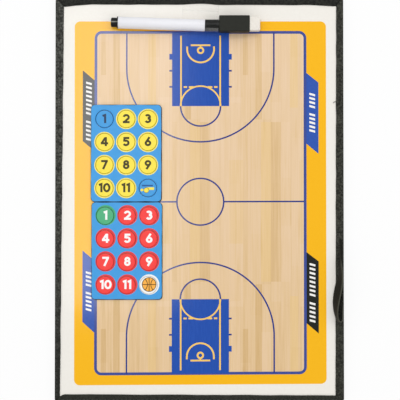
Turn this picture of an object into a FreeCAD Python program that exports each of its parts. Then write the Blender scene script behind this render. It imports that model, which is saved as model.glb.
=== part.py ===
import FreeCAD, Part
import math
import os

from FreeCAD import Vector

# Tactics board: a bound court panel with a marker in a clear sleeve, two sheets of magnets and a wrist loop.
# Millimetres. +X is the board's right, +Y its top and +Z out of its face; the origin is under its middle.

# Panel: what shows inside the binding
window_width = 209.5
window_height = 298.0
window_corner_radius = 1.0

# Panel layers, from the back to the front
back_cover_thickness = 0.8
core_thickness = 2.2
steel_thickness = 0.3
print_thickness = 0.25
film_thickness = 0.15

# Binding tape, folded over the panel's edge and mitred at the corners
binding_width = 5.5
binding_thickness = 0.8
binding_wall = 1.4
binding_edge_radius = 1.2
board_corner_radius = 4.0
binding_edge_share = 0.45

# Marker barrel, along its own axis from the plug to the cap
barrel_length = 66.1
barrel_diameter = 9.0
barrel_wall = 0.8
barrel_shoulder = 1.5
neck_length = 8.0
neck_wall = 0.75

# Plug in the barrel's tail
plug_knob_length = 4.65
plug_knob_diameter = 7.4
plug_knob_round = 0.7
plug_flange_thickness = 0.8
plug_flange_lip = 0.2
plug_spigot_length = 5.3
plug_clearance = 0.05

# Ink store and writing tip
reservoir_clearance = 0.15
reservoir_end_gap = 0.2
holder_clearance = 0.03
holder_flange_thickness = 0.8
holder_flange_step = 0.25
holder_nose_length = 4.0
holder_nose_wall = 0.6
nib_diameter = 3.6
nib_reach = 5.5
nib_round = 1.2
nib_clearance = 0.03

# Cap with its eraser, which clears the binding when the marker slides out and lies straight on the board
collar_length = 10.7
collar_diameter = 8.8
collar_wall = 1.0
cap_clearance = 0.05
cap_seat_gap = 0.1
nib_room = 3.0
housing_length = 23.3
housing_width = 12.4
housing_offset = 0.9
housing_rim_gap = 0.25
housing_edge_radius = 0.7
felt_reach = 7.9
felt_depth = 6.0
felt_wall = 0.8
felt_clearance = 0.1
felt_edge_radius = 0.7
cap_turn_degrees = 1.9

# Clear sleeve that holds the marker
sleeve_width = 28.2
sleeve_film = 0.25
sleeve_clearance = 0.7
sleeve_flap = 6.2
sleeve_tail = 5.05
sleeve_tuck = 1.5
sleeve_end_room = 0.6
sleeve_side_room = 0.9
sleeve_offset = 0.4
sleeve_stop_gap = 0.45
sleeve_turn_degrees = -1.9
notch_depth = 2.3
notch_side = 2.5

# Magnet sheets with their punched discs
disc_diameter = 13.6
disc_kerf = 0.15
disc_column_gap = 3.0
disc_row_gap = 4.0
disc_columns = 3
disc_rows = 4
magnet_thickness = 1.4
sheet_side_margin = 3.55
sheet_outer_margin = 4.15
sheet_inner_margin = 3.6
sheet_corner_radius = 2.8
sheet_gap = 0.4
sheet_left_margin = 21.9
sheet_top_margin = 76.87
sheet_stagger = 0.5

# Wrist loop, a strap on its edge with a flat tab sewn to the binding
strap_thickness = 1.0
strap_width = 7.0
loop_length = 64.0
loop_width = 7.2
loop_lift = 0.3
loop_set_back = 0.2
loop_below_middle = 31.0
tab_length = 9.0
tab_thickness = 0.8
tab_overlap = 4.0
loop_tip_share = 0.36
loop_bow_shares = (0.86, 0.46)

# How far a cutting shape runs past what it cuts, and how near to a level an edge counts as lying on it
overrun = 1.0
level_tolerance_share = 1e-5

# Levels of the layers, from the face that the board rests on
back_cover_base = binding_thickness
core_base = back_cover_base + back_cover_thickness
steel_base = core_base + core_thickness
print_base = steel_base + steel_thickness
film_base = print_base + print_thickness
film_top = film_base + film_thickness
board_top = film_top + binding_thickness

# Outer sizes of the board and of the layers inside the binding
board_width = window_width + 2 * binding_width
board_height = window_height + 2 * binding_width
layer_width = board_width - 2 * binding_wall
layer_height = board_height - 2 * binding_wall
layer_corner_radius = board_corner_radius - binding_wall
rolled_edge_radius = min(binding_edge_radius, binding_edge_share * board_top)

# Radii of the marker
barrel_radius = barrel_diameter / 2
barrel_bore_radius = barrel_radius - barrel_wall
cap_bore_radius = collar_diameter / 2 - collar_wall
neck_radius = cap_bore_radius - cap_clearance
neck_bore_radius = neck_radius - neck_wall
nib_radius = nib_diameter / 2
nib_bore_radius = nib_radius + nib_clearance

# Stations along the marker, from the plug's end
barrel_start = plug_knob_length + plug_flange_thickness
spigot_end = barrel_start + plug_spigot_length
barrel_end = barrel_start + barrel_length
shoulder_start = barrel_end - barrel_shoulder
reservoir_end = shoulder_start - reservoir_end_gap
neck_end = barrel_end + neck_length
nose_start = neck_end + holder_flange_thickness
nose_end = nose_start + holder_nose_length
nib_end = nose_end + nib_reach
cap_start = barrel_end + cap_seat_gap
housing_start = cap_start + collar_length
housing_end = housing_start + housing_length
felt_start = housing_end - felt_depth
felt_end = housing_end + felt_reach

# Sleeve's bend round the marker, and where the marker lies
sleeve_inner_radius = barrel_radius + sleeve_clearance
sleeve_outer_radius = sleeve_inner_radius + sleeve_film
axis_height = sleeve_outer_radius
weld_reach = sleeve_outer_radius + sleeve_flap
tail_thickness = 2 * sleeve_film
tail_reach = weld_reach + sleeve_tail + notch_depth + sleeve_tuck
marker_shift = sleeve_width / 2 + sleeve_stop_gap - housing_start
marker_y = window_height / 2 - weld_reach - sleeve_tail
housing_height = 2 * (axis_height - binding_thickness - housing_rim_gap)

# Magnet sheets
disc_column_pitch = disc_diameter + disc_column_gap
disc_row_pitch = disc_diameter + disc_row_gap
sheet_width = disc_diameter + (disc_columns - 1) * disc_column_pitch + 2 * sheet_side_margin
sheet_height = disc_diameter + (disc_rows - 1) * disc_row_pitch + sheet_outer_margin + sheet_inner_margin
disc_shift = (sheet_outer_margin - sheet_inner_margin) / 2
upper_sheet_x = -window_width / 2 + sheet_left_margin + sheet_width / 2
upper_sheet_y = window_height / 2 - sheet_top_margin - sheet_height / 2
lower_sheet_x = upper_sheet_x + sheet_stagger
lower_sheet_y = upper_sheet_y - sheet_height - sheet_gap

# Wrist loop
seam_x = board_width / 2 - rolled_edge_radius
tab_width = binding_width - rolled_edge_radius
loop_right_x = seam_x - loop_set_back
loop_tip_y = -loop_below_middle


def rounded_outline(width, height, radius):
    """Rectangle with quarter-circle corners, centred on the origin in the XY plane."""
    x = width / 2 - radius
    y = height / 2 - radius
    arcs = [
        Part.makeCircle(radius, Vector(cx, cy, 0), Vector(0, 0, 1), start, start + 90)
        for cx, cy, start in ((x, y, 0), (-x, y, 90), (-x, -y, 180), (x, -y, 270))
    ]
    sides = [
        Part.makeLine(arc.Vertexes[-1].Point, arcs[(i + 1) % len(arcs)].Vertexes[0].Point)
        for i, arc in enumerate(arcs)
    ]
    return Part.Wire(Part.__sortEdges__(arcs + sides))


def plate(outline, base, thickness):
    """Solid of an outline, from the level base upwards."""
    solid = Part.Face(outline).extrude(Vector(0, 0, thickness))
    solid.translate(Vector(0, 0, base))
    return solid


def block(x_range, y_range, z_range):
    """Box between two values on each axis."""
    corner = Vector(x_range[0], y_range[0], z_range[0])
    return Part.makeBox(
        x_range[1] - x_range[0], y_range[1] - y_range[0], z_range[1] - z_range[0], corner
    )


def turned(profile):
    """Solid of revolution about X, from (station, radius) corners."""
    corners = [Vector(station, 0, radius) for station, radius in profile]
    face = Part.Face(Part.makePolygon(corners + corners[:1]))
    return face.revolve(Vector(0, 0, 0), Vector(1, 0, 0), 360)


def level_edges(shape, level):
    """Edges that lie flat at one level."""
    near = level_tolerance_share * board_top
    return [
        edge for edge in shape.Edges
        if abs(edge.BoundBox.ZMin - level) < near and abs(edge.BoundBox.ZMax - level) < near
    ]


def panel_layers():
    """Back cover, core, steel, print and film: full sheets stacked inside the binding."""
    stack = {
        "back_cover": (back_cover_base, back_cover_thickness),
        "core_board": (core_base, core_thickness),
        "steel_sheet": (steel_base, steel_thickness),
        "court_print": (print_base, print_thickness),
        "dry_erase_film": (film_base, film_thickness),
    }
    outline = rounded_outline(layer_width, layer_height, layer_corner_radius)
    return {name: plate(outline, base, thickness) for name, (base, thickness) in stack.items()}


def binding_ring():
    """The whole binding: a rounded rim with the panel's seat and window cut out of it."""
    rim = plate(rounded_outline(board_width, board_height, board_corner_radius), 0, board_top)
    rim = rim.makeFillet(rolled_edge_radius, level_edges(rim, 0) + level_edges(rim, board_top))
    seat = plate(
        rounded_outline(layer_width, layer_height, layer_corner_radius),
        back_cover_base, film_top - back_cover_base,
    )
    window = plate(
        rounded_outline(window_width, window_height, window_corner_radius),
        -overrun, board_top + 2 * overrun,
    )
    return rim.cut(seat).cut(window)


def mitre_wedge(half_run, reach, turn):
    """Prism that cuts one side out of the ring along 45 degree mitres; turn 0 is the top side."""
    inward = binding_width + overrun
    corners = [
        Vector(-half_run - overrun, reach + overrun, -overrun),
        Vector(half_run + overrun, reach + overrun, -overrun),
        Vector(half_run - inward, reach - inward, -overrun),
        Vector(-half_run + inward, reach - inward, -overrun),
    ]
    face = Part.Face(Part.makePolygon(corners + corners[:1]))
    wedge = face.extrude(Vector(0, 0, board_top + 2 * overrun))
    wedge.rotate(Vector(0, 0, 0), Vector(0, 0, 1), turn)
    return wedge


def sleeve_relief():
    """Arched notch in the top binding and the pocket under it where the sleeve's tail is tucked."""
    edge_y = window_height / 2
    half_chord = sleeve_width / 2 + notch_side
    left = Vector(sleeve_offset - half_chord, edge_y, film_top)
    crown = Vector(sleeve_offset, edge_y + notch_depth, film_top)
    right = Vector(sleeve_offset + half_chord, edge_y, film_top)
    corners = [right, right - Vector(0, overrun, 0), left - Vector(0, overrun, 0), left]
    edges = [Part.Arc(left, crown, right).toShape(), *Part.makePolygon(corners).Edges]
    notch = Part.Face(Part.Wire(edges)).extrude(Vector(0, 0, binding_thickness + overrun))
    half_pocket = sleeve_width / 2 + sleeve_side_room
    pocket = block(
        (sleeve_offset - half_pocket, sleeve_offset + half_pocket),
        (edge_y - overrun, edge_y + notch_depth + sleeve_tuck + sleeve_end_room),
        (film_top, film_top + tail_thickness),
    )
    return notch.fuse(pocket)


def binding_strips():
    """The four sides of the binding, with the top one relieved for the sleeve."""
    ring = binding_ring()
    sides = {
        "binding_top": (board_width / 2, board_height / 2, 0),
        "binding_left": (board_height / 2, board_width / 2, 90),
        "binding_bottom": (board_width / 2, board_height / 2, 180),
        "binding_right": (board_height / 2, board_width / 2, 270),
    }
    strips = {name: ring.common(mitre_wedge(*side)) for name, side in sides.items()}
    strips["binding_top"] = strips["binding_top"].cut(sleeve_relief())
    return strips


def lay_in_sleeve(shape):
    """Move a shape from the marker's own frame, under the sleeve's middle, to its place on the board."""
    shape.rotate(Vector(0, 0, 0), Vector(0, 0, 1), sleeve_turn_degrees)
    shape.translate(Vector(sleeve_offset, marker_y, film_top))
    return shape


def sleeve_point(angle, radius):
    """Point on the sleeve's bend, by its angle above the side that faces the board's top."""
    return Vector(0, radius * math.cos(angle), axis_height + radius * math.sin(angle))


def pen_sleeve():
    """Clear film bent round the marker into a teardrop, welded to a double tail."""
    tip_y = weld_reach
    drop = axis_height - sleeve_film
    slant = math.hypot(tip_y, drop)
    leave = math.acos(sleeve_inner_radius / slant) - math.atan2(drop, tip_y)
    crown = math.pi

    def bend(radius):
        return Part.Arc(
            sleeve_point(leave, radius), sleeve_point(crown, radius), Vector(0, 0, axis_height - radius)
        ).toShape()

    inner_corners = [
        Vector(0, 0, sleeve_film),
        Vector(0, tip_y, sleeve_film),
        sleeve_point(leave, sleeve_inner_radius),
    ]
    outer_leave = sleeve_point(leave, sleeve_outer_radius)
    fall = (outer_leave.z - tail_thickness) / math.cos(leave)
    outer_corners = [
        Vector(0, 0, 0),
        Vector(0, tail_reach, 0),
        Vector(0, tail_reach, tail_thickness),
        Vector(0, outer_leave.y + fall * math.sin(leave), tail_thickness),
        outer_leave,
    ]
    outer = Part.Wire([*Part.makePolygon(outer_corners).Edges, bend(sleeve_outer_radius)])
    inner = Part.Wire([*Part.makePolygon(inner_corners).Edges, bend(sleeve_inner_radius)])
    length = Vector(sleeve_width, 0, 0)
    sleeve = Part.Face(outer).extrude(length).cut(Part.Face(inner).extrude(length))
    sleeve.translate(Vector(-sleeve_width / 2, 0, 0))
    return lay_in_sleeve(sleeve)


def marker_barrel():
    """Hollow barrel with a shoulder and a thinner neck that the cap slides on."""
    return turned([
        (barrel_start, barrel_bore_radius), (barrel_start, barrel_radius),
        (barrel_end, barrel_radius), (barrel_end, neck_radius),
        (neck_end, neck_radius), (neck_end, neck_bore_radius),
        (shoulder_start, neck_bore_radius), (shoulder_start, barrel_bore_radius),
    ])


def barrel_plug():
    """Tail plug: a rounded knob, a flange on the barrel's end and a spigot inside it."""
    knob_radius = plug_knob_diameter / 2
    flange_radius = barrel_radius + plug_flange_lip
    spigot_radius = barrel_bore_radius - plug_clearance
    plug = turned([
        (0, 0), (0, knob_radius), (plug_knob_length, knob_radius),
        (plug_knob_length, flange_radius), (barrel_start, flange_radius),
        (barrel_start, spigot_radius), (spigot_end, spigot_radius), (spigot_end, 0),
    ])
    end_edges = [edge for edge in plug.Edges if edge.BoundBox.XMax < plug_knob_length / 2]
    return plug.makeFillet(plug_knob_round, [edge for edge in end_edges if edge.Closed])


def ink_reservoir():
    """Soaked core that fills the barrel between the plug and the shoulder."""
    radius = barrel_bore_radius - reservoir_clearance
    return turned([(spigot_end, 0), (spigot_end, radius), (reservoir_end, radius), (reservoir_end, 0)])


def nib_holder():
    """Insert in the neck: a flange on its end and a tapered nose round the nib."""
    holder_radius = neck_bore_radius - holder_clearance
    flange_radius = neck_radius - holder_flange_step
    nose_radius = nib_bore_radius + holder_nose_wall
    return turned([
        (shoulder_start, nib_bore_radius), (shoulder_start, holder_radius),
        (neck_end, holder_radius), (neck_end, flange_radius),
        (nose_start, flange_radius), (nose_end, nose_radius), (nose_end, nib_bore_radius),
    ])


def marker_nib():
    """Bullet nib from the reservoir's face out through the holder."""
    nib = turned([(reservoir_end, 0), (reservoir_end, nib_radius), (nib_end, nib_radius), (nib_end, 0)])
    tip_edges = [edge for edge in nib.Edges if edge.Closed and edge.BoundBox.XMin > nose_end]
    return nib.makeFillet(nib_round, tip_edges)


def level_cap(shape):
    """Turn a shape of the cap about the sleeve's middle, so that it lies straight on the board."""
    shape.rotate(Vector(-marker_shift, 0, 0), Vector(0, 0, 1), cap_turn_degrees)
    return shape


def cap_shell():
    """Round collar that grips the neck, moulded in one with the square eraser housing."""
    collar_radius = collar_diameter / 2
    collar = turned([
        (cap_start - overrun, 0), (cap_start - overrun, collar_radius),
        (housing_start + overrun, collar_radius), (housing_start + overrun, 0),
    ])
    housing = block(
        (housing_start, housing_end),
        (housing_offset - housing_width / 2, housing_offset + housing_width / 2),
        (-housing_height / 2, housing_height / 2),
    )
    housing = housing.makeFillet(housing_edge_radius, housing.Edges)
    bore = turned([
        (cap_start - 2 * overrun, 0), (cap_start - 2 * overrun, cap_bore_radius),
        (nib_end + nib_room, cap_bore_radius), (nib_end + nib_room, 0),
    ])
    mouth = block(
        (cap_start - 2 * overrun, cap_start),
        (-collar_diameter, collar_diameter),
        (-collar_diameter, collar_diameter),
    )
    pocket = level_cap(felt_block(felt_clearance, housing_end + overrun))
    return level_cap(collar.fuse(housing)).cut(mouth).cut(bore).cut(pocket)


def felt_block(spare, end):
    """Box of the eraser felt, grown by spare on its four sides, from its seat to end."""
    half_width = housing_width / 2 - felt_wall - felt_clearance + spare
    half_height = housing_height / 2 - felt_wall - felt_clearance + spare
    return block(
        (felt_start, end),
        (housing_offset - half_width, housing_offset + half_width),
        (-half_height, half_height),
    )


def eraser_felt():
    """Felt block pressed into the housing, with its worn outer edges rounded."""
    felt = felt_block(0, felt_end)
    worn = [edge for edge in felt.Edges if edge.BoundBox.XMin > housing_end]
    return level_cap(felt.makeFillet(felt_edge_radius, worn))


def marker_pieces():
    """Every piece of the marker, in its place in the sleeve."""
    pieces = {
        "marker_barrel": marker_barrel(),
        "barrel_plug": barrel_plug(),
        "ink_reservoir": ink_reservoir(),
        "nib_holder": nib_holder(),
        "marker_nib": marker_nib(),
        "cap_shell": cap_shell(),
        "eraser_felt": eraser_felt(),
    }
    for piece in pieces.values():
        piece.translate(Vector(marker_shift, 0, axis_height))
        lay_in_sleeve(piece)
    return pieces


def disc_centres(sheet_x, discs_y):
    """Centres of a sheet's discs, row by row from its top left."""
    left = sheet_x - (disc_columns - 1) / 2 * disc_column_pitch
    top = discs_y + (disc_rows - 1) / 2 * disc_row_pitch
    return [
        Vector(left + column * disc_column_pitch, top - row * disc_row_pitch, film_top)
        for row in range(disc_rows) for column in range(disc_columns)
    ]


def magnet_set(sheet_name, disc_names, sheet_x, sheet_y, discs_y):
    """One magnet sheet and its punched discs, whose middle lies at discs_y."""
    sheet = plate(rounded_outline(sheet_width, sheet_height, sheet_corner_radius), film_top, magnet_thickness)
    sheet.translate(Vector(sheet_x, sheet_y, 0))
    pieces = {}
    for name, centre in zip(disc_names, disc_centres(sheet_x, discs_y)):
        radius = disc_diameter / 2
        pieces[name] = Part.makeCylinder(radius, magnet_thickness, centre)
        start = centre - Vector(0, 0, overrun)
        sheet = sheet.cut(Part.makeCylinder(radius + disc_kerf, magnet_thickness + 2 * overrun, start))
    pieces[sheet_name] = sheet
    return pieces


def loop_outline(inset):
    """Teardrop outline of the strap's outer face, moved in by inset, at the level 0."""
    end_radius = loop_width / 2
    right = loop_right_x - inset
    left = loop_right_x - loop_width + inset
    top = loop_tip_y - inset
    turn_y = loop_tip_y - loop_length + end_radius
    tip_left = Vector(loop_right_x - loop_tip_share * loop_width + inset, top, 0)
    bow_x, bow_y = loop_bow_shares
    bow = Vector(loop_right_x - bow_x * loop_width + inset, loop_tip_y - bow_y * loop_length, 0)
    turn_left = Vector(left, turn_y, 0)
    bight = Vector((left + right) / 2, loop_tip_y - loop_length + inset, 0)
    turn_right = Vector(right, turn_y, 0)
    tip_right = Vector(right, top, 0)
    return Part.Wire([
        Part.Arc(tip_left, bow, turn_left).toShape(),
        Part.Arc(turn_left, bight, turn_right).toShape(),
        Part.makeLine(turn_right, tip_right),
        Part.makeLine(tip_right, tip_left),
    ])


def wrist_loop():
    """Strap bent into a teardrop that stands on its edge, with the tab that is sewn to the binding."""
    band_base = board_top + loop_lift
    band = plate(loop_outline(0), band_base, strap_width).cut(
        plate(loop_outline(strap_thickness), band_base, strap_width)
    )
    tab = block(
        (seam_x - tab_width, seam_x),
        (loop_tip_y - tab_overlap, loop_tip_y - tab_overlap + tab_length),
        (board_top, board_top + tab_thickness),
    )
    return band.fuse(tab).removeSplitter()


home_discs = [f"home_disc_{number:02d}" for number in range(1, disc_columns * disc_rows)] + ["whistle_disc"]
away_discs = [f"away_disc_{number:02d}" for number in range(1, disc_columns * disc_rows)] + ["ball_disc"]

nodes = {
    **panel_layers(),
    **binding_strips(),
    "pen_sleeve": pen_sleeve(),
    **marker_pieces(),
    **magnet_set("magnet_sheet_upper", home_discs, upper_sheet_x, upper_sheet_y, upper_sheet_y - disc_shift),
    **magnet_set("magnet_sheet_lower", away_discs, lower_sheet_x, lower_sheet_y, lower_sheet_y + disc_shift),
    "wrist_loop": wrist_loop(),
}

os.makedirs("parts", exist_ok=True)
for name, shape in nodes.items():
    shape.exportStep(f"parts/{name}.step")
    print(f"{name}: {len(shape.Solids)} solid, valid {shape.isValid()}, {shape.Volume:.1f} mm3")
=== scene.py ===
# %% [markdown]
# # Dressing a basketball tactics board
# The real object is a stiff panel with a printed court under clear film. Black tape binds its edge,
# a marker sits in a clear sleeve, two magnet sheets hold numbered discs, and a strap hangs from the
# right edge. The CAD part already holds every size and joint, so the lesson starts by loading it
# and only adds surfaces and finishes around it.

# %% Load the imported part
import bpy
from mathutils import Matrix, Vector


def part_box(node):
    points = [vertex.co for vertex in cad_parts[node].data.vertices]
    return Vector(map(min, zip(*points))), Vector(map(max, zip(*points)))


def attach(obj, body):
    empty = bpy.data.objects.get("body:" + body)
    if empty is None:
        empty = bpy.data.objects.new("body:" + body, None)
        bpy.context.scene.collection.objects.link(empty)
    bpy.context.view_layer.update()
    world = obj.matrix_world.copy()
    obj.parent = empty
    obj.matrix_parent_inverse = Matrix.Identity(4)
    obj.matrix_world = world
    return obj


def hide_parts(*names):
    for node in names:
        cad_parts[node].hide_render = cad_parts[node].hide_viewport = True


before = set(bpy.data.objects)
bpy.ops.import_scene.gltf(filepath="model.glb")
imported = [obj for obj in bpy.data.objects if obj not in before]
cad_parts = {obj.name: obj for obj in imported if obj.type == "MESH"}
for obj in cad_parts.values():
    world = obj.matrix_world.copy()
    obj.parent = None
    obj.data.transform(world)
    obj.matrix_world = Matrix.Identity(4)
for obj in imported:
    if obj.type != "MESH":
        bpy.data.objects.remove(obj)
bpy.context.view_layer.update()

# %% [markdown]
# Blender works in metres, but a maker of such a board thinks in millimetres. All shapes below are
# worked out in millimetres and scaled once, when a mesh is filled. Levels and places are read from
# the part's own nodes, so a dressed piece lands exactly where the part carries it.

# %% Millimetres, levels and screen colours
import math

import bmesh
import bpy
import numpy as np

MM = 0.001


def node_box(node):
    """Lowest and highest corner of a CAD node, in millimetres."""
    low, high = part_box(node)
    return np.array(low) / MM, np.array(high) / MM


def screen(red, green, blue):
    """A 0-255 screen colour as linear light.

    A share c becomes ((c + 0.055) / 1.055) to the power 2.4, or c / 12.92 when it is very dark."""
    c = np.array([red, green, blue]) / 255
    linear = np.where(c > 0.04045, ((c + 0.055) / 1.055) ** 2.4, c / 12.92)
    return (*linear.tolist(), 1.0)


board_low, board_high = node_box("binding_left")
print_low, print_high = node_box("court_print")
half_width = -board_low[0]
half_height = node_box("binding_top")[1][1]
board_top = board_high[2]
film_top = node_box("dry_erase_film")[1][2]
print("board, mm:", round(2 * half_width, 2), "x", round(2 * half_height, 2), "top", round(board_top, 2))

# %% [markdown]
# Most pieces here are a section carried along a path: a tape folded round an edge, a line of ink, a
# turned disc. One function can skin them all. It takes a stack of rings as one array and joins
# neighbouring rings with quads; a stack that doesn't close on itself gets one face at each end, so
# every piece is a closed solid.

# %% Skins over stacks of rings
def loft(rings, loop=False):
    """Closed skin over rings[i, j], point j of section i.

    Each quad joins points j and j + 1 of section i to the same points of section i + 1. With loop
    the last section meets the first; without it each end is closed by one face."""
    rings = np.asarray(rings, float)
    rows, columns = rings.shape[:2]
    index = np.arange(rows * columns).reshape(rows, columns)
    near = index if loop else index[:-1]
    far = np.roll(index, -1, 0) if loop else index[1:]
    quads = np.stack([near, np.roll(near, -1, 1), np.roll(far, -1, 1), far], -1).reshape(-1, 4)
    caps = [] if loop else [index[0, ::-1], index[-1]]
    return rings.reshape(-1, 3), quads, caps


def raised(outline, height):
    """Flat points (x, y) at one height: (x, y, height)."""
    outline = np.asarray(outline, float)
    return np.column_stack([outline, np.full(len(outline), height)])


def slab(outline, low, high):
    """Flat plate: the outline at height low and again at height high, joined by a wall."""
    return loft(np.stack([raised(outline, low), raised(outline, high)]))


MERGE_DISTANCE = 1e-7


def stand(name, data):
    """New object of a mesh, lamp or camera, linked into the scene."""
    made = bpy.data.objects.new(name, data)
    bpy.context.scene.collection.objects.link(made)
    return made


def piece(name, parts, finishes, body, replaced=(), crease=38.0, marks=None):
    """One object at the origin from parts, each a skin and its finish's number, or one per face.

    marks gives named values per point for a finish to read. Points go from millimetres to metres."""
    starts = np.cumsum([0] + [len(skin[0]) for skin, _ in parts])
    faces = []
    numbers = []
    for (skin, number), start in zip(parts, starts):
        count = len(skin[1]) + len(skin[2])
        faces += (skin[1] + start).tolist() + [(cap + start).tolist() for cap in skin[2]]
        numbers.append(np.broadcast_to(number, count))
    mesh = bpy.data.meshes.new(name)
    points = np.concatenate([skin[0] for skin, _ in parts]) * MM
    mesh.from_pydata(points.tolist(), [], faces)
    for finish in finishes:
        mesh.materials.append(finish.material)
    mesh.polygons.foreach_set("material_index", np.concatenate(numbers).astype(np.int32))
    for mark, values in (marks or {}).items():
        layer = mesh.attributes.new(mark, "FLOAT", "POINT")
        layer.data.foreach_set("value", np.asarray(values, np.float32))
    shell = bmesh.new()
    shell.from_mesh(mesh)
    bmesh.ops.remove_doubles(shell, verts=shell.verts, dist=MERGE_DISTANCE)
    bmesh.ops.recalc_face_normals(shell, faces=shell.faces)
    shell.to_mesh(mesh)
    shell.free()
    mesh.shade_smooth()
    mesh.set_sharp_from_angle(angle=math.radians(crease))
    made = stand(name, mesh)
    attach(made, body)
    if replaced:
        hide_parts(*replaced)
    return made


print("a slab has", len(slab([(0, 0), (1, 0), (1, 1), (0, 1)], 0, 1)[0]), "points for a square outline")

# %% [markdown]
# Outlines and lines of print come from three small formulas: a rectangle with round corners, a
# circular arc, and a stroke. The stroke keeps its width through a bend because its sideways step
# grows by one over the cosine of half the bend, which is how a drawing pen's mitre works.

# %% Outlines, arcs and strokes
def spokes(angle):
    """Points (cos a, sin a) of the unit circle."""
    return np.column_stack([np.cos(angle), np.sin(angle)])


def rotated(x, y, angle):
    """A flat point turned about the origin: (x cos a - y sin a, x sin a + y cos a)."""
    cos, sin = math.cos(angle), math.sin(angle)
    return x * cos - y * sin, x * sin + y * cos


def unit(vectors):
    """Vectors scaled to length 1."""
    return vectors / np.linalg.norm(vectors, axis=1)[:, None]


def walked(corners, counts):
    """Points round a closed outline, evenly spaced along each edge, as many as its count says."""
    edges = zip(corners, np.roll(corners, -1, 0), counts)
    return np.concatenate([a + (b - a) * (np.arange(n) / n)[:, None] for a, b, n in edges])


def rounded_outline(width, height, radius, centre=(0.0, 0.0), steps=8):
    """Rectangle with quarter-circle corners, anticlockwise.

    Its points are each corner's centre plus radius times (cos a, sin a)."""
    turn = np.linspace(0, math.pi / 2, steps + 1)
    angle = (np.arange(4)[:, None] * math.pi / 2 + turn).ravel()
    corner = np.repeat([[1, 1], [-1, 1], [-1, -1], [1, -1]], steps + 1, 0)
    middle = corner * (np.array([width, height]) / 2 - radius)
    return middle + radius * spokes(angle) + np.asarray(centre)


def arc(centre, radius, start, end, steps=48):
    """Points centre + radius (cos a, sin a) for a from start to end, in degrees."""
    angle = np.radians(np.linspace(start, end, steps + 1))
    return np.asarray(centre) + radius * spokes(angle)


def circle(centre, radius, steps=96):
    """A whole arc without the repeated last point."""
    return arc(centre, radius, 0, 360, steps)[:-1]


def sideways(path, closed=False):
    """Step to the left of a path at each point.

    It is (n0 + n1) / (1 + n0.n1) for the normals n0 and n1 of the edges that meet there."""
    edge = np.roll(path, -1, 0) - path
    after = unit(np.column_stack([-edge[:, 1], edge[:, 0]]))
    before = np.roll(after, 1, 0)
    if not closed:
        after[-1] = before[-1]
        before[0] = after[0]
    return (after + before) / (1 + (after * before).sum(1))[:, None]


def stroke(path, width, low, high, closed=False):
    """Bar of ink: a rectangle of that width, from height low to high, carried along a flat path."""
    path = np.asarray(path, float)
    side = sideways(path, closed) * width / 2
    corners = [(path + side, high), (path - side, high), (path - side, low), (path + side, low)]
    return loft(np.stack([raised(line, height) for line, height in corners], 1), closed)


print("a circle has", len(circle((0, 0), 1)), "points")

# %% [markdown]
# A finish is a node material. Written by hand, its sums would be long chains of Math nodes, so a
# small class wraps a socket and lets plain Python operators add those nodes. Every other node comes
# from one method, which sets the node's options first, then its values or links. What varies over a
# surface feeds the base colour, the roughness, the alpha or a bump only, because those are what an
# exporter can bake.

# %% Sockets that add up, and finishes made of them
def operator(operation, swapped=False):
    """Method that adds one Math node; a reflected operator has its two sides swapped."""
    def method(self, other=0.0):
        left, right = (other, self) if swapped else (self, other)
        return self.finish.node("ShaderNodeMath", {"operation": operation}, {0: left, 1: right})
    return method


class Wire:
    """An output socket in a sum: each operator adds a Math node and gives that node's output."""

    def __init__(self, finish, socket):
        self.finish = finish
        self.socket = socket

    __add__ = __radd__ = operator("ADD")
    __sub__ = operator("SUBTRACT")
    __rsub__ = operator("SUBTRACT", swapped=True)
    __mul__ = __rmul__ = operator("MULTIPLY")
    __truediv__ = operator("DIVIDE")
    __gt__ = operator("GREATER_THAN")
    __lt__ = operator("LESS_THAN")
    __abs__ = operator("ABSOLUTE")
    floor = operator("FLOOR")
    sine = operator("SINE")
    least = operator("MINIMUM")


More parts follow.
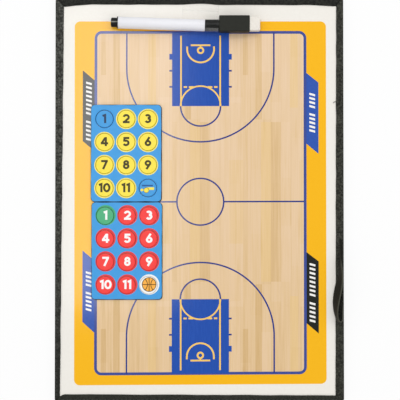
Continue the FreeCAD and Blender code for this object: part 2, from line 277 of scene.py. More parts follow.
class Finish:
    """A material: constants go straight to its Principled shader, and node() adds whatever varies."""

    def __init__(self, name, constants):
        self.material = bpy.data.materials.new(name)
        self.material.use_nodes = True
        self.tree = self.material.node_tree
        self.shader = self.tree.nodes["Principled BSDF"]
        self.feed(constants)

    def socket(self, sockets, key):
        """A node's socket by number, or by its identifier or name."""
        if isinstance(key, int):
            return sockets[key]
        return next(s for s in sockets if key in (s.identifier, s.name))

    def plug(self, sockets, values):
        """Sets each socket's value, or links it where the value is a wire."""
        for key, value in values.items():
            socket = self.socket(sockets, key)
            if isinstance(value, Wire):
                self.tree.links.new(value.socket, socket)
            else:
                socket.default_value = value

    def feed(self, values):
        self.plug(self.shader.inputs, values)

    def node(self, kind, settings=None, values=None, output=0):
        """Any node: its type, its settings (a ramp's stops too), then its sockets; gives one output."""
        made = self.tree.nodes.new(kind)
        settings = dict(settings or {})
        stops = settings.pop("stops", None)
        for key, value in settings.items():
            setattr(made, key, value)
        if stops:
            ramp = made.color_ramp
            while len(ramp.elements) < len(stops):
                ramp.elements.new(1.0)
            for element, (position, colour) in zip(ramp.elements, stops):
                element.position = position
                element.color = colour
        self.plug(made.inputs, values or {})
        return Wire(self, self.socket(made.outputs, output))

    def stretched(self, vector, factors):
        """A vector with each of its axes multiplied by its own factor."""
        return self.node("ShaderNodeVectorMath", {"operation": "MULTIPLY"}, {0: vector, 1: factors})

    def millimetres(self, stretch=(1.0, 1.0, 1.0)):
        """Object coordinates in millimetres, each axis multiplied by its stretch."""
        return self.stretched(self.node("ShaderNodeTexCoord", output="Object"), [s / MM for s in stretch])

    def axis(self, vector, name):
        """One of the parts X, Y and Z of a vector."""
        return self.node("ShaderNodeSeparateXYZ", None, {0: vector}, name)

    def mark(self, name):
        """The value that the mesh carries under that name, point by point."""
        return self.node("ShaderNodeAttribute", {"attribute_name": name}, None, "Fac")

    def noise(self, vector, scale=1.0, detail=2.0):
        """Cloudy noise from 0 to 1, with scale features in each unit of the vector."""
        return self.node("ShaderNodeTexNoise", None, {"Vector": vector, "Scale": scale, "Detail": detail})

    def blend(self, amount, first, second):
        """Mix of two colours: the first where amount is 0, the second where it is 1."""
        colours = {"Factor_Float": amount, "A_Color": first, "B_Color": second}
        return self.node("ShaderNodeMix", {"data_type": "RGBA"}, colours, "Result_Color")

    def tint(self, amount, colour, shade):
        """Base colour of the shader: one screen colour where amount is 0, another where it is 1."""
        self.feed({"Base Color": self.blend(amount, screen(*colour), screen(*shade))})

    def bump(self, height, strength, depth_mm):
        """Sends a height to the shader's normal, as relief of that depth in millimetres."""
        values = {"Height": height, "Strength": strength, "Distance": depth_mm * MM}
        self.feed({"Normal": self.node("ShaderNodeBump", None, values)})


print("finishes are made by", Finish.__name__)

# %% [markdown]
# The court sheet is printed paper under a clear dry-erase film. The film could be a see-through
# plate over the print, but a clear coat on each ink shows the same gloss and bakes more cleanly.
# All inks share one recipe: the printed colour, a faint cloudy unevenness as offset print has, and
# the film's coat with its soft reflections. Dark ink lies thicker and shines more than bare paper,
# so each ink has its own gloss, and slanted streaks in the film waver it.

# %% Inks under the film
FILM = {"Coat Roughness": 0.12, "Coat IOR": 1.62, "Roughness": 0.6, "Specular IOR Level": 0.1}
STREAK_TURN = math.radians(35)
STREAK_STRETCH = (0.9, 0.08, 1.0)
STREAK_DEPTH = 0.004


def filmed(name, gloss):
    """Finish under the film: its coat, and relief from noise in streaks that lean by STREAK_TURN."""
    finish = Finish(name, FILM | {"Coat Weight": gloss})
    place = {"Vector": finish.millimetres(), "Angle": STREAK_TURN}
    turned = finish.node("ShaderNodeVectorRotate", {"rotation_type": "Z_AXIS"}, place)
    streaks = finish.noise(finish.stretched(turned, STREAK_STRETCH))
    finish.bump(streaks, strength=1.0, depth_mm=STREAK_DEPTH)
    return finish


def printed(name, colour, shade, gloss, grain=(0.5, 0.5, 0.5)):
    """Ink that wanders between two near colours, with patches stretched by grain."""
    finish = filmed(name, gloss)
    finish.tint(finish.noise(finish.millimetres(grain), detail=4.0), colour, shade)
    return finish


paper_white = printed("paper_white", (243, 240, 233), (237, 233, 225), gloss=0.3)
ink_yellow = printed("ink_yellow", (252, 189, 28), (249, 184, 20), gloss=0.58)
ink_blue = printed("ink_blue", (42, 88, 181), (26, 72, 163), gloss=0.42, grain=(1.1, 0.12, 1.0))
flag_blue = printed("flag_blue", (56, 94, 184), (42, 80, 168), gloss=0.7)
line_blue = printed("line_blue", (67, 84, 158), (57, 74, 146), gloss=0.85)
line_thin = printed("line_thin", (48, 64, 142), (40, 56, 130), gloss=0.9)
ink_black = printed("ink_black", (34, 37, 31), (26, 28, 24), gloss=0.86)
line_yellow = printed("line_yellow", (252, 208, 112), (248, 202, 100), gloss=0.5)
ink_white = printed("ink_white", (250, 249, 245), (244, 242, 238), gloss=0.3)
print("inks:", len(bpy.data.materials))

# %% [markdown]
# The printed floor imitates maple strips. The print repeats across the court and is mirrored at the
# half line. In one repeat a few lengths of strip are darker or paler, with sharp sides and butt
# ends, and every strip has its own tone; stretched noise adds the grain. White Noise gives one
# random number per strip and length, which a picture texture would need thousands of pixels for.

# %% The printed maple floor
WOOD_START = 0.45
WOOD_REPEAT = 54.24
STRIPS = 7
STRIP_LENGTH = 62.0
HALF_LINE_Y = -2.03
LENGTH_SPREAD = 295.0
TONE_SHARE = 0.18
PATCH_SHARE = 0.26
GRAIN_SHARE = 0.56
STAIN_SHARE = 1.4
STAIN_START = 0.58
PALE_START = 0.25
PAINTED_TOP_LIGHT_PER_MM = 0.0009
JOINT_HALF = 0.475
JOINT_DEPTH = 0.12
PATCH_STRETCH = (0.16, 0.022, 1.0)
GRAIN_STRETCH = (1.4, 0.03, 1.0)
HEART_STRETCH = (0.3, 0.016, 1.0)
DARK_LENGTHS = [
    (0.0, 0.1, 0.0, 61.0, 0.28), (0.1, 0.141, 0.0, 61.0, 0.2), (0.141, 0.268, 0.0, 61.0, -0.08),
    (0.606, 0.676, 0.0, 61.0, 0.12),
    (0.78, 0.873, 63.0, 140.0, 0.26), (0.606, 0.676, 97.0, 140.0, 0.26), (0.873, 1.0, 63.0, 140.0, -0.1),
    (0.408, 0.606, 32.0, 80.0, -0.1),
]
YELLOW_LENGTHS = [
    (0.268, 0.38, 72.0, 140.0, 0.34), (0.859, 1.0, 0.0, 61.0, 0.3), (0.408, 0.606, 0.0, 32.0, 0.16),
]


def maple():
    """Tone from strip and length numbers, patches, grain, and the lengths listed with four limits.

    Limits are shares of the repeat, left and right, then millimetres from the half line."""
    finish = filmed("floor_maple", gloss=0.34)
    place = finish.millimetres()
    across = finish.axis(place, "X")
    down = finish.axis(place, "Y")
    repeat = (across - WOOD_START) / WOOD_REPEAT
    share = repeat - repeat.floor()
    away = abs(down - HALF_LINE_Y)
    strip = (share * STRIPS).floor()
    shift = finish.node("ShaderNodeTexWhiteNoise", {"noise_dimensions": "1D"}, {"W": strip}, "Value")
    length = ((away + shift * LENGTH_SPREAD) / STRIP_LENGTH).floor()
    board = {"Vector": finish.node("ShaderNodeCombineXYZ", None, {0: strip, 1: length})}
    tone = finish.node("ShaderNodeTexWhiteNoise", {"noise_dimensions": "2D"}, board, "Value")
    patch = finish.noise(finish.millimetres(PATCH_STRETCH))
    grain = finish.noise(finish.millimetres(GRAIN_STRETCH), detail=4.0)
    heart = finish.noise(finish.millimetres(HEART_STRETCH), detail=3.0) - STAIN_START
    stain = (heart > 0) * heart * STAIN_SHARE

    def laid(lengths):
        """Sum of the lengths' depths, each where all four of its limits hold."""
        return sum((share > left) * (share < right) * (away > near) * (away < far) * depth
                   for left, right, near, far, depth in lengths)

    amount = tone * TONE_SHARE + patch * PATCH_SHARE + grain * GRAIN_SHARE + stain
    # Paler towards the board's top: painted light, as the light falls stronger there.
    amount = amount - down * PAINTED_TOP_LIGHT_PER_MM - PALE_START + laid(DARK_LENGTHS)
    stops = [(0.0, screen(236, 207, 174)), (0.38, screen(228, 196, 152)), (1.0, screen(201, 162, 99))]
    colour = finish.node("ShaderNodeValToRGB", {"stops": stops}, {0: amount})
    colour = finish.blend(laid(YELLOW_LENGTHS), colour, screen(236, 200, 126))
    joint = abs(share * STRIPS - strip - 0.5) > JOINT_HALF
    finish.feed({"Base Color": finish.blend(joint * JOINT_DEPTH, colour, screen(190, 150, 105))})
    return finish


floor_maple = maple()
print("maple strips of", round(WOOD_REPEAT / STRIPS, 2), "mm")

# %% [markdown]
# The court itself is drawn in real ink layers: thin plates stacked a few hundredths of a millimetre
# apart. That keeps every edge sharp at any distance, where a drawing made of shader maths would
# blur when baked. A full court is one half drawn twice, the second time turned upside down.

# %% Court sizes
COURT_CENTRE = np.array([0.7, -2.3])
FIELD = (192.4, 277.5, 4.2)
FIELD_OFFSET = (0.0, -0.27)
COURT = (162.1, 262.7, 5.5)
COURT_OFFSET = np.array([0.1, -0.25])
FRAME_LINE = 2.1
LINE = 1.16
PRINT_SKEW = 0.003
SKEW_REACH = 138.0
KEY = (43.6, 57.6)
ARC_RADIUS = 56.3
ARC_CENTRE = 102.4
SHEET_TOP = film_top - 0.14
INK_STEP = 0.022


def level(layer):
    """Top of an ink layer, counted from the paper."""
    return SHEET_TOP + layer * INK_STEP


def on_sheet(points):
    """Court to sheet: moved to the court's middle, with the print's slight skew.

    The skew adds PRINT_SKEW x (1 - y / SKEW_REACH) to y."""
    x, y = np.asarray(points, float).T
    return np.column_stack([x, y + PRINT_SKEW * x * (1 - y / SKEW_REACH)]) + COURT_CENTRE


def ink_plate(outline, layer):
    return slab(on_sheet(outline), SHEET_TOP - INK_STEP, level(layer))


def ink_line(path, width, layer, closed=False):
    return stroke(on_sheet(path), width, SHEET_TOP - INK_STEP, level(layer), closed)


def bar(x0, y0, x1, y1):
    """Outline of a rectangle between two corners."""
    return np.array([(x0, y0), (x1, y0), (x1, y1), (x0, y1)], float)


print("paper top at", round(SHEET_TOP, 3), "mm")

# %% [markdown]
# One half court holds the three-point line, the painted key, the free-throw circle (yellow inside
# the key, blue outside it), the lane lines, the hoop with its backboard and small arc, and the
# marks along the key. All of it is measured from the baseline, and the sign turns it for the far
# end.

# %% Lines of one half court
BASE_INSET = 1.0
FREE_THROW_RADIUS = 15.3
HOOP_DEPTH = 14.9
HOOP_RADIUS = 2.1
HOOP_LINE = 1.4
BACKBOARD = (7.5, 11.6, 10.3)
NECK = (0.6, 12.9, 11.4)
SMALL_ARC = (10.3, 13.8, 11.9)
SMALL_ARC_LINE = 1.3
LANE_LINE = (14.38, 15.62, 3.6)
DASHES = ((5.4, 9.0), (10.4, 12.9))
DASH_DEPTH = (43.65, 42.35)
MARK_REACH = (-0.5, 2.1)
BLOCK = (22.0, 17.6)
TICKS = ((31.2, 29.9), (43.5, 42.2))


def half_court(sign, base, nudge):
    """Ink of one end as blue plates, blue lines and yellow lines.

    sign turns it for the far end, and nudge moves its key sideways. BACKBOARD and NECK list half width,
    far and near distance from the baseline, SMALL_ARC its radius and the depths of its centre and tips,
    and LANE_LINE its two edges and its near end."""
    key_x = KEY[0] / 2
    key_y = base - KEY[1]
    turned = np.array([sign, sign], float)
    aside = np.array([nudge, 0.0])

    def plate(x0, far, x1, near, layer, side=1):
        """Rectangle between two distances from the baseline; side -1 mirrors it."""
        return ink_plate(bar(x0, base - far, x1, base - near) * (turned * (side, 1)) + aside, layer)

    def curve(path, width, layer, closed=False):
        return ink_line(path * turned + aside, width, layer, closed)

    blue = [plate(-key_x, KEY[1], key_x, BASE_INSET, 3)]
    bow = arc((0, ARC_CENTRE), ARC_RADIUS, 0, -180, 72)
    legs = [[(x, base - BASE_INSET)] for x in (ARC_RADIUS, -ARC_RADIUS)]
    line = [ink_line(np.concatenate([legs[0], bow, legs[1]]) * turned, LINE, 3)]
    line.append(curve(arc((0, key_y), FREE_THROW_RADIUS, 0, -180), LINE, 4))
    yellow = [curve(arc((0, key_y), FREE_THROW_RADIUS, 0, 180), LINE, 5)]
    yellow.append(curve(circle((0, base - HOOP_DEPTH), HOOP_RADIUS, 40), HOOP_LINE, 4, closed=True))
    for (half, far, near), layer in ((BACKBOARD, 4), (NECK, 5)):
        yellow.append(plate(-half, far, half, near, layer))
    radius, depth, end = SMALL_ARC
    tips = [[(x, base - end)] for x in (radius, -radius)]
    bow = arc((0, base - depth), radius, 0, -180)
    yellow.append(curve(np.concatenate([tips[0], bow, tips[1]]), SMALL_ARC_LINE, 4))
    inside, outside = key_x + MARK_REACH[0], key_x + MARK_REACH[1]
    for side in (-1, 1):
        yellow.append(plate(LANE_LINE[0], KEY[1], LANE_LINE[1], LANE_LINE[2], 4, side))
        yellow += [plate(start, DASH_DEPTH[0], end, DASH_DEPTH[1], 4, side) for start, end in DASHES]
        blue.append(plate(inside, BLOCK[0], outside, BLOCK[1], 2, side))
        line += [plate(inside, far, outside, near, 2, side) for far, near in TICKS]
    return blue, line, yellow


halves = [half_court(sign=1, base=131.1, nudge=0.2), half_court(sign=-1, base=131.7, nudge=0.0)]
print("strokes in each half:", [len(group) for group in halves[0]])

# %% [markdown]
# Four slanted flags sit against the frame line, two black and two blue. A plain row of slanted
# white bars in two groups stands on each, which gives the panel its rhythm of dark flag and white
# print.

# %% Flags beside the court
LEFT_FLAG = (-89.95, 9.2, 2.5)
RIGHT_FLAG = (80.45, 9.9, 2.95)
LONG_ROW = (8, 5, 3.3)
SHORT_ROW = (4, 5, 3.1)
FLAG_BAR = np.array([(0, -0.3), (4.4, -1.5), (4.4, 0.1), (0, 1.3)])


def flag(side, ends, slants, row):
    """Slanted flag: the ends of its left edge, each lower at the right by its slant, and its white bars.

    side gives its left edge, its width and its bars' inset; row the bars in each group and their pitch."""
    x, width, inset = side
    first, second, pitch = row
    top, bottom = ends
    outline = [(x, top), (x, bottom), (x + width, bottom - slants[1]), (x + width, top - slants[0])]
    place = np.concatenate([np.arange(first), first + 1 + np.arange(second)]) * pitch
    rows = (sum(ends) / 2 - sum(slants) / 4 + place.mean() - place)[:, None, None]
    marks = FLAG_BAR + (x + inset, 0) + rows * np.array([0, 1])
    return ink_plate(np.array(outline), 1), [ink_plate(mark, 2) for mark in marks]


flags = {
    "black_left": flag(LEFT_FLAG, (101.0, 46.8), (7.8, 7.8), LONG_ROW),
    "blue_right": flag(RIGHT_FLAG, (99.4, 45.0), (7.9, 8.2), SHORT_ROW),
    "blue_left": flag(LEFT_FLAG, (-36.6, -90.9), (7.8, 8.4), SHORT_ROW),
    "black_right": flag(RIGHT_FLAG, (-38.0, -92.25), (7.6, 8.5), LONG_ROW),
}
print("flags:", ", ".join(flags))

# %% Put the printed sheet together
SHEET_ROUND = 2.6
CENTRE_Y = 0.27
CENTRE_RADIUS = 17.85
FLOOR_INSET = 1.0
PAPER, YELLOW, FLOOR, BLUE, FRAME, BLACK, PALE, WHITE, THIN, FLAG_BLUE = range(10)
court_finishes = [
    paper_white, ink_yellow, floor_maple, ink_blue, line_blue, ink_black, line_yellow, ink_white, line_thin,
    flag_blue,
]


def court_outline(inset):
    """The court's outline, drawn in by inset on every side."""
    width, height, radius = COURT
    return rounded_outline(width - 2 * inset, height - 2 * inset, radius - inset, COURT_OFFSET)


sheet_size = print_high - print_low
court_parts = [
    (slab(rounded_outline(*sheet_size[:2], SHEET_ROUND), print_low[2], SHEET_TOP), PAPER),
    (ink_plate(rounded_outline(*FIELD, FIELD_OFFSET), 0.5), YELLOW),
    (ink_plate(court_outline(FLOOR_INSET), 1.5), FLOOR),
    (ink_line(court_outline(FRAME_LINE / 2), FRAME_LINE, 2.5, closed=True), FRAME),
    (ink_line(circle((0, CENTRE_Y), CENTRE_RADIUS), LINE, 3, closed=True), THIN),
]
half_line = bar(CENTRE_RADIUS, CENTRE_Y - LINE / 2, COURT[0] / 2 - FLOOR_INSET, CENTRE_Y + LINE / 2)
court_parts += [(ink_plate(half_line * (side, 1), 2), THIN) for side in (-1, 1)]
for groups in halves:
    for group, number in zip(groups, (BLUE, THIN, PALE)):
        court_parts += [(skin, number) for skin in group]
for name, (back, marks) in flags.items():
    court_parts.append((back, BLACK if "black" in name else FLAG_BLUE))
    court_parts += [(mark, WHITE) for mark in marks]
court_sheet = piece("court_sheet", court_parts, court_finishes, "board",
                    ("court_print", "dry_erase_film"))
print("court sheet:", len(court_sheet.data.polygons), "faces")

# %% [markdown]
# The binding is a leatherette tape folded round the panel's edge, stitched, and mitred at the
# corners. A bevelled box would be too neat: hand-sewn tape wanders, so its inner edge drifts and
# ripples. Its section is a C, and every point of the section follows its own parallel of the
# rounded rectangle, so the corners bend as tape does.

# %% Leatherette finishes
GLARE_Y = 60.0
GLARE_REACH = 130.0
FINE_PER_PEBBLE = 2.2
CELL_GAIN = 1.6
CELL_START = 0.25
FINE_RELIEF = 0.35
LEATHER_ROUGHNESS = 0.62
SCUFF_SHINE = 0.16
FINE_DULLNESS = 0.08


def leatherette(name, colour, shade, pebble, fade=0.0):
    """Embossed vinyl: cell pattern of pebble cells per millimetre for the grain, clouds for scuffing.

    It is palest beside its glare height, a painted glare, and darkens from there by fade times the
    square of the distance, counted in the glare's reach."""
    finish = Finish(name, {"Specular IOR Level": 0.18})
    place = finish.millimetres()
    grid = {"Vector": place, "Scale": pebble, "Randomness": 1.0}
    cells = finish.node("ShaderNodeTexVoronoi", None, grid, "Distance")
    cloud = finish.noise(place, scale=0.22, detail=3.0)
    fine = finish.noise(place, scale=pebble * FINE_PER_PEBBLE)
    # Scuff clouds, paled further near the glare height: a painted glare of the lamp on the tape.
    away = (finish.axis(place, "Y") - GLARE_Y) / GLARE_REACH
    painted_glare = finish.blend(cloud - away * away * fade, screen(*shade), screen(*colour))
    finish.feed({"Base Color": finish.blend(cells * CELL_GAIN - CELL_START, painted_glare, screen(*shade))})
    finish.feed({"Roughness": LEATHER_ROUGHNESS - cloud * SCUFF_SHINE + fine * FINE_DULLNESS})
    finish.bump(fine * FINE_RELIEF - cells, strength=0.55, depth_mm=0.16)
    return finish


# The four sides are lit and shaded copies of one leatherette, which is painted light: the top is shaded
# darker, and the left and right are paler, each with a painted glare over its upper part.
tape_black = leatherette("tape_black", (58, 59, 51), (12, 13, 9), pebble=0.75)
tape_left_glare = leatherette("tape_left_glare", (122, 123, 115), (30, 31, 26), pebble=0.62, fade=0.24)
tape_plain = leatherette("tape_plain", (66, 67, 58), (28, 29, 23), pebble=1.3)
tape_grained = leatherette("tape_grained", (90, 91, 80), (26, 27, 21), pebble=0.75, fade=0.05)
cover_leatherette = leatherette("cover_leatherette", (46, 47, 42), (27, 28, 25), pebble=0.9)
thread_black = Finish("thread_black", {"Roughness": 0.7, "Sheen Weight": 0.2})
twist = thread_black.noise(thread_black.millimetres((2.4, 2.4, 2.4)), detail=1.0)
thread_black.tint(twist, (30, 30, 27), (70, 70, 64))
print("leatherette and thread ready")

# %% [markdown]
# The tape's section is listed as depth from the outer edge and height, with a share that says how
# much each point moves when the tape's inner edge wanders. The stitch line is pressed in, and the
# inner edge is rounded as folded tape is.

# %% Section of the tape
TAPE = 5.5
TAPE_WALL = 1.4
TAPE_THICKNESS = 0.8
CORNER = 2.4
TAPE_ROLL = 1.2
FLAP_START = 2.5
STITCH_INSET = 1.75
STITCH_DIP = 0.22
LIP_BACK = 0.3
LIP_SHARE = 0.9


def tape_section():
    """Closed C section as rows of (depth, height, share on the top flap, share on the bottom flap)."""
    share = np.array([0.0, 0.2, 0.45, 0.7, 0.86, 0.95, 1.0, 1.0])
    flap = FLAP_START + share * (TAPE - FLAP_START)
    drop = np.array([0.02, 0.0, 0.0, 0.01, 0.06, 0.2, 0.42, 0.79])
    groove = np.array([(1.3, 0.0), (1.5, 0.08), (STITCH_INSET, STITCH_DIP), (2.0, 0.08), (2.2, 0.02)])
    bend = np.linspace(0, math.pi / 2, 7)
    roll = (TAPE_ROLL - TAPE_ROLL * spokes(bend))[:-1]
    depth = np.concatenate([roll[:, 0], groove[:, 0], flap])
    fall = np.concatenate([roll[:, 1], groove[:, 1], drop])
    shares = np.concatenate([np.zeros(len(roll) + len(groove)), share])
    top = np.column_stack([depth, board_top - fall, shares, 0 * shares])
    under = np.column_stack([depth, fall, 0 * shares, shares])[::-1]
    inner = np.array([
        (TAPE - LIP_BACK, film_top, LIP_SHARE, 0.0), (TAPE_WALL, film_top, 0.0, 0.0),
        (TAPE_WALL, TAPE_THICKNESS, 0.0, 0.0), (TAPE - LIP_BACK, TAPE_THICKNESS, 0.0, LIP_SHARE),
    ])
    return np.concatenate([under, top, inner])


section = tape_section()
print("tape section:", len(section), "points")

# %% [markdown]
# Each side runs from one mitre to the next. Stations along it are half a corner bend, a long run
# and another half bend. Near a mitre the tape sinks a little, which draws the dark seam that a real
# mitred corner shows.

# %% Tape along one side
LEAST_BEND = 0.3
WANDER = 0.2
UNDER_WANDER = 0.5
WANDER_FADE = 12.0
WAVES = 5
WAVE_LENGTHS = (14, 70)
MITRE_SINK = 0.4
MITRE_REACH = 0.7
INNER_POINTS = 4
BEND_STEPS = 8
STATIONS = 181
CROWDING = 1.15
UNDER_SEED = 50


def ripple(along, seed, size):
    """Mean of WAVES sines with seeded lengths and starts: the wander of hand-laid tape."""
    random = np.random.default_rng(seed)
    length = random.uniform(*WAVE_LENGTHS, WAVES)
    phase = random.uniform(0, 2 * math.pi, WAVES)
    return size * np.sin(along[:, None] * 2 * math.pi / length + phase).mean(1)


def tape_side(run, reach, turn, drift, seed, ends):
    """Points of one side: run is half its length, reach its outer edge's distance, turn counts quarters.

    A point at depth d rides an arc of radius r = max(CORNER - d, LEAST_BEND) about
    (run - n - r, reach - d - r), where n is its depth on the side that meets it there; ends gives
    how much wider that side's tape is at each mitre."""
    bend = np.radians(np.linspace(0, 45, BEND_STEPS + 1))
    straight = np.linspace(-1, 1, STATIONS)
    straight = np.sign(straight) * (1 - (1 - abs(straight)) ** CROWDING)
    share = np.concatenate([np.full(BEND_STEPS, -1.0), straight, np.full(BEND_STEPS, 1.0)])
    angle = np.concatenate([-bend[:0:-1], np.zeros(STATIONS), bend[1:]])
    along = share * run
    fade = np.clip((run - abs(along)) / WANDER_FADE, 0, 1)
    width = drift(along) + ripple(along, seed, WANDER) * fade
    under = ripple(along, seed + UNDER_SEED, UNDER_WANDER) * fade
    depth = section[:, 0] + section[:, 2] * width[:, None] + section[:, 3] * under[:, None]
    radius = np.maximum(CORNER - depth, LEAST_BEND)
    inset = section[:, 0] + section[:, 2] * np.where(share < 0, *ends)[:, None]
    x = share[:, None] * (run - inset - radius) + radius * np.sin(angle)[:, None]
    y = reach - depth - radius + radius * np.cos(angle)[:, None]
    mitre = ((run - abs(x)) - (reach - y)) / math.sqrt(2)
    sink = MITRE_SINK * np.clip(1 - mitre / MITRE_REACH, 0, 1) ** 2
    height = np.broadcast_to(section[:, 1], x.shape)
    outside = (np.arange(len(section)) < len(section) - INNER_POINTS) * np.sign(height - board_top / 2)
    height = height - sink * outside
    return np.stack([*rotated(x, y, math.radians(90 * turn)), height], -1)


def level_with(start, end, run):
    """Straight drift of the inner edge between two changes of width, along a side from -run to run."""
    return lambda along: start + (end - start) * (along / run + 1) / 2


print("a side has", tape_side(100, 100, 0, level_with(0, 0, 100), 1, (0, 0)).shape, "points")

# %% [markdown]
# The four sides drift as the photo shows: the left one narrows towards the bottom, and the top one
# arches up over the sleeve's tail and widens into its left corner.

# %% The four sides of the binding
SLEEVE_X = 0.4
ARCH_HALF = 17.0
ARCH_RISE = 0.8
FLARE_REACH = 24.0
LEFT_FLARE = (86.0, 1.9)
RIGHT_FLARE = (84.0, 0.9)
TOP_START = 0.06
TOP_SLOPE = 0.0025
BACK_REACH = 3.4
BACK_STEP = 1.5
BOTTOM_WIDTHS = (-0.55, 0.35)
LEFT_WIDTHS = (-1.45, 1.0)
RIGHT_WIDTHS = (-0.03, 1.1)


def flare(along, start, width):
    """Widening from start on: width times the share of FLARE_REACH that is passed, to the power 1.5."""
    return width * np.clip((along - start) / FLARE_REACH, 0, 1) ** 1.5


def top_drift(along):
    """Arch over the sleeve (a raised cosine, ARCH_HALF to each side) and a flare into each end."""
    off = along - SLEEVE_X
    arch = np.where(abs(off) < ARCH_HALF, 0.5 + 0.5 * np.cos(off / ARCH_HALF * math.pi), 0)
    flat = TOP_START + TOP_SLOPE * along - ARCH_RISE * arch
    return flat + flare(-along, *LEFT_FLARE) + flare(along, *RIGHT_FLARE)


def bottom_drift(along):
    """Straight drift of the bottom side, drawn back over its last BACK_REACH, into the left corner."""
    drawn = np.clip((along - half_width) / BACK_REACH + 1, 0, 1) ** 1.4
    return level_with(*BOTTOM_WIDTHS, half_width)(along) - BACK_STEP * drawn


tape_finishes = {
    "binding_top": tape_black, "binding_left": tape_left_glare, "binding_bottom": tape_plain,
    "binding_right": tape_grained,
}
sides = {
    "binding_top": (half_width, half_height, 0, top_drift, 3),
    "binding_left": (half_height, half_width, 1, level_with(*LEFT_WIDTHS, half_height), 5),
    "binding_bottom": (half_width, half_height, 2, bottom_drift, 7),
    "binding_right": (half_height, half_width, 3, level_with(*RIGHT_WIDTHS, half_height), 11),
}
ring = list(sides)
end_width = {name: [drift(np.array([end * run]))[0] for end in (-1, 1)]
             for name, (run, _, _, drift, _) in sides.items()}
for number, (name, side) in enumerate(sides.items()):
    ends = end_width[ring[(number + 1) % 4]][1], end_width[ring[number - 1]][0]
    tape = piece(name + "_tape", [(loft(tape_side(*side, ends)), 0)], [tape_finishes[name]], "board",
                 (name,), crease=60)
print("tape faces per side:", len(tape.data.polygons))

# %% [markdown]
# Stitches are short capsules pressed into the groove, one set on the face and one on the back.
# There are hundreds, so one small capsule of a few dozen faces is copied by adding its points to
# every place at once. Three of them make a loose thread end beside the right tape.

# %% Stitches
STITCH_PITCH = 3.2
STITCH_LENGTH = 2.1
STITCH_RADIUS = 0.2
STITCH_TILT = math.radians(5)
THREAD_PIECE = 1.3
STITCH_PROUD = 0.1
END_MARGIN = 7.0
THREAD_END = np.array([(104.2, 74.45), (103.4, 74.4), (102.7, 73.85)])
THREAD_LEAN = np.array([(1.0, -0.1), (0.96, 0.28), (0.7, 0.71)])


def capsule(length, radius, around=6):
    """Rings of a round-ended rod along X: circles that shrink towards both ends, full ones between."""
    station = np.array([-0.5, -0.46, -0.32, 0.32, 0.46, 0.5]) * length
    size = np.array([0.15, 0.7, 1.0, 1.0, 0.7, 0.15]) * radius
    angle = np.arange(around) * 2 * math.pi / around
    ring = np.stack([np.zeros(around), np.cos(angle), np.sin(angle)], -1)
    return ring * size[:, None, None] + station[:, None, None] * np.array([1, 0, 0])


def copies(rings, places, directions):
    """One skin of a shape set down at many places, each turned in the plane to its direction."""
    x, y = directions[:, 0], directions[:, 1]
    zero = np.zeros_like(x)
    rows = (x, -y, zero), (y, x, zero), (zero, zero, zero + 1)
    turn = np.stack([np.stack(row, -1) for row in rows], 1)
    points, quads, caps = loft(rings)
    moved = np.einsum("nij,pj->npi", turn, points) + places[:, None]
    step = np.arange(len(places)) * len(points)
    many_caps = [cap + start for start in step for cap in caps]
    return moved.reshape(-1, 3), (quads + step[:, None, None]).reshape(-1, 4), many_caps


def stitch_places(run, reach, turn, height):
    """Places and directions of one side's stitches, at the stitch inset along the straight run."""
    count = int((2 * run - END_MARGIN) // STITCH_PITCH)
    along = (np.arange(count) - (count - 1) / 2) * STITCH_PITCH
    on, out = (np.array(rotated(*way, math.radians(90 * turn))) for way in ((1, 0), (0, 1)))
    flat = along[:, None] * on + (reach - STITCH_INSET) * out
    lean = on * math.cos(STITCH_TILT) + out * math.sin(STITCH_TILT)
    return raised(flat, height), np.tile(lean, (count, 1))


stitch_rings = capsule(STITCH_LENGTH, STITCH_RADIUS)
stitch_parts = []
for run, reach, turn, _, _ in sides.values():
    for height in (board_top - STITCH_DIP + STITCH_PROUD, STITCH_DIP):
        stitch_parts.append((copies(stitch_rings, *stitch_places(run, reach, turn, height)), 0))
thread_rings = capsule(THREAD_PIECE, STITCH_RADIUS)
stitch_parts.append((copies(thread_rings, raised(THREAD_END, film_top + STITCH_RADIUS), THREAD_LEAN), 0))
stitches = piece("binding_stitches", stitch_parts, [thread_black], "board")
print("stitch faces:", len(stitches.data.polygons))

# %% [markdown]
# The marker's tail plug and barrel are turned pieces, so a profile spun round an axis makes them.
# The profile is a list of stations along the axis with their radii; the small round-overs at the
# edges catch the light as moulded plastic does. The marker lies slightly askew in its sleeve, so
# its own frame is turned before it is placed.

# %% The marker's frame
MARKER_TURN = math.radians(-1.9)
plug_low, plug_high = node_box("barrel_plug")
MARKER_START = np.array([-67.36, 134.55, (plug_low[2] + plug_high[2]) / 2])


def askew(rings, start):
    """From a frame along the marker (along, across, up) to the board: turned, then moved to start."""
    along, across, up = np.moveaxis(np.asarray(rings, float), -1, 0)
    return np.stack([*rotated(along, across, MARKER_TURN), up], -1) + start


def lathe(profile, around=72):
    """Rings of a turned piece about the first axis: (station, radius cos a, radius sin a)."""
    station, radius = np.asarray(profile, float).T
    angle = np.arange(around) * 2 * math.pi / around
    flat = radius[:, None] * np.cos(angle), radius[:, None] * np.sin(angle)
    return np.stack([np.broadcast_to(station[:, None], flat[0].shape), *flat], -1)


print("marker axis at", round(MARKER_START[2], 2), "mm")

# %% Plastics of the marker
CLOUD_DULLNESS = 0.08
SKIN_DULLNESS = 0.05


def moulded(name, colour, shade, roughness, speckle, relief):
    """Moulded plastic: a nearly even colour, a little grain in its gloss, and a faint skin texture."""
    finish = Finish(name, {"Specular IOR Level": 0.5})
    place = finish.millimetres()
    cloud = finish.noise(place, scale=0.35, detail=3.0)
    skin = finish.noise(place, scale=speckle)
    finish.tint(cloud, colour, shade)
    finish.feed({"Roughness": roughness + cloud * CLOUD_DULLNESS + skin * SKIN_DULLNESS})
    finish.bump(skin, strength=0.3, depth_mm=relief)
    return finish
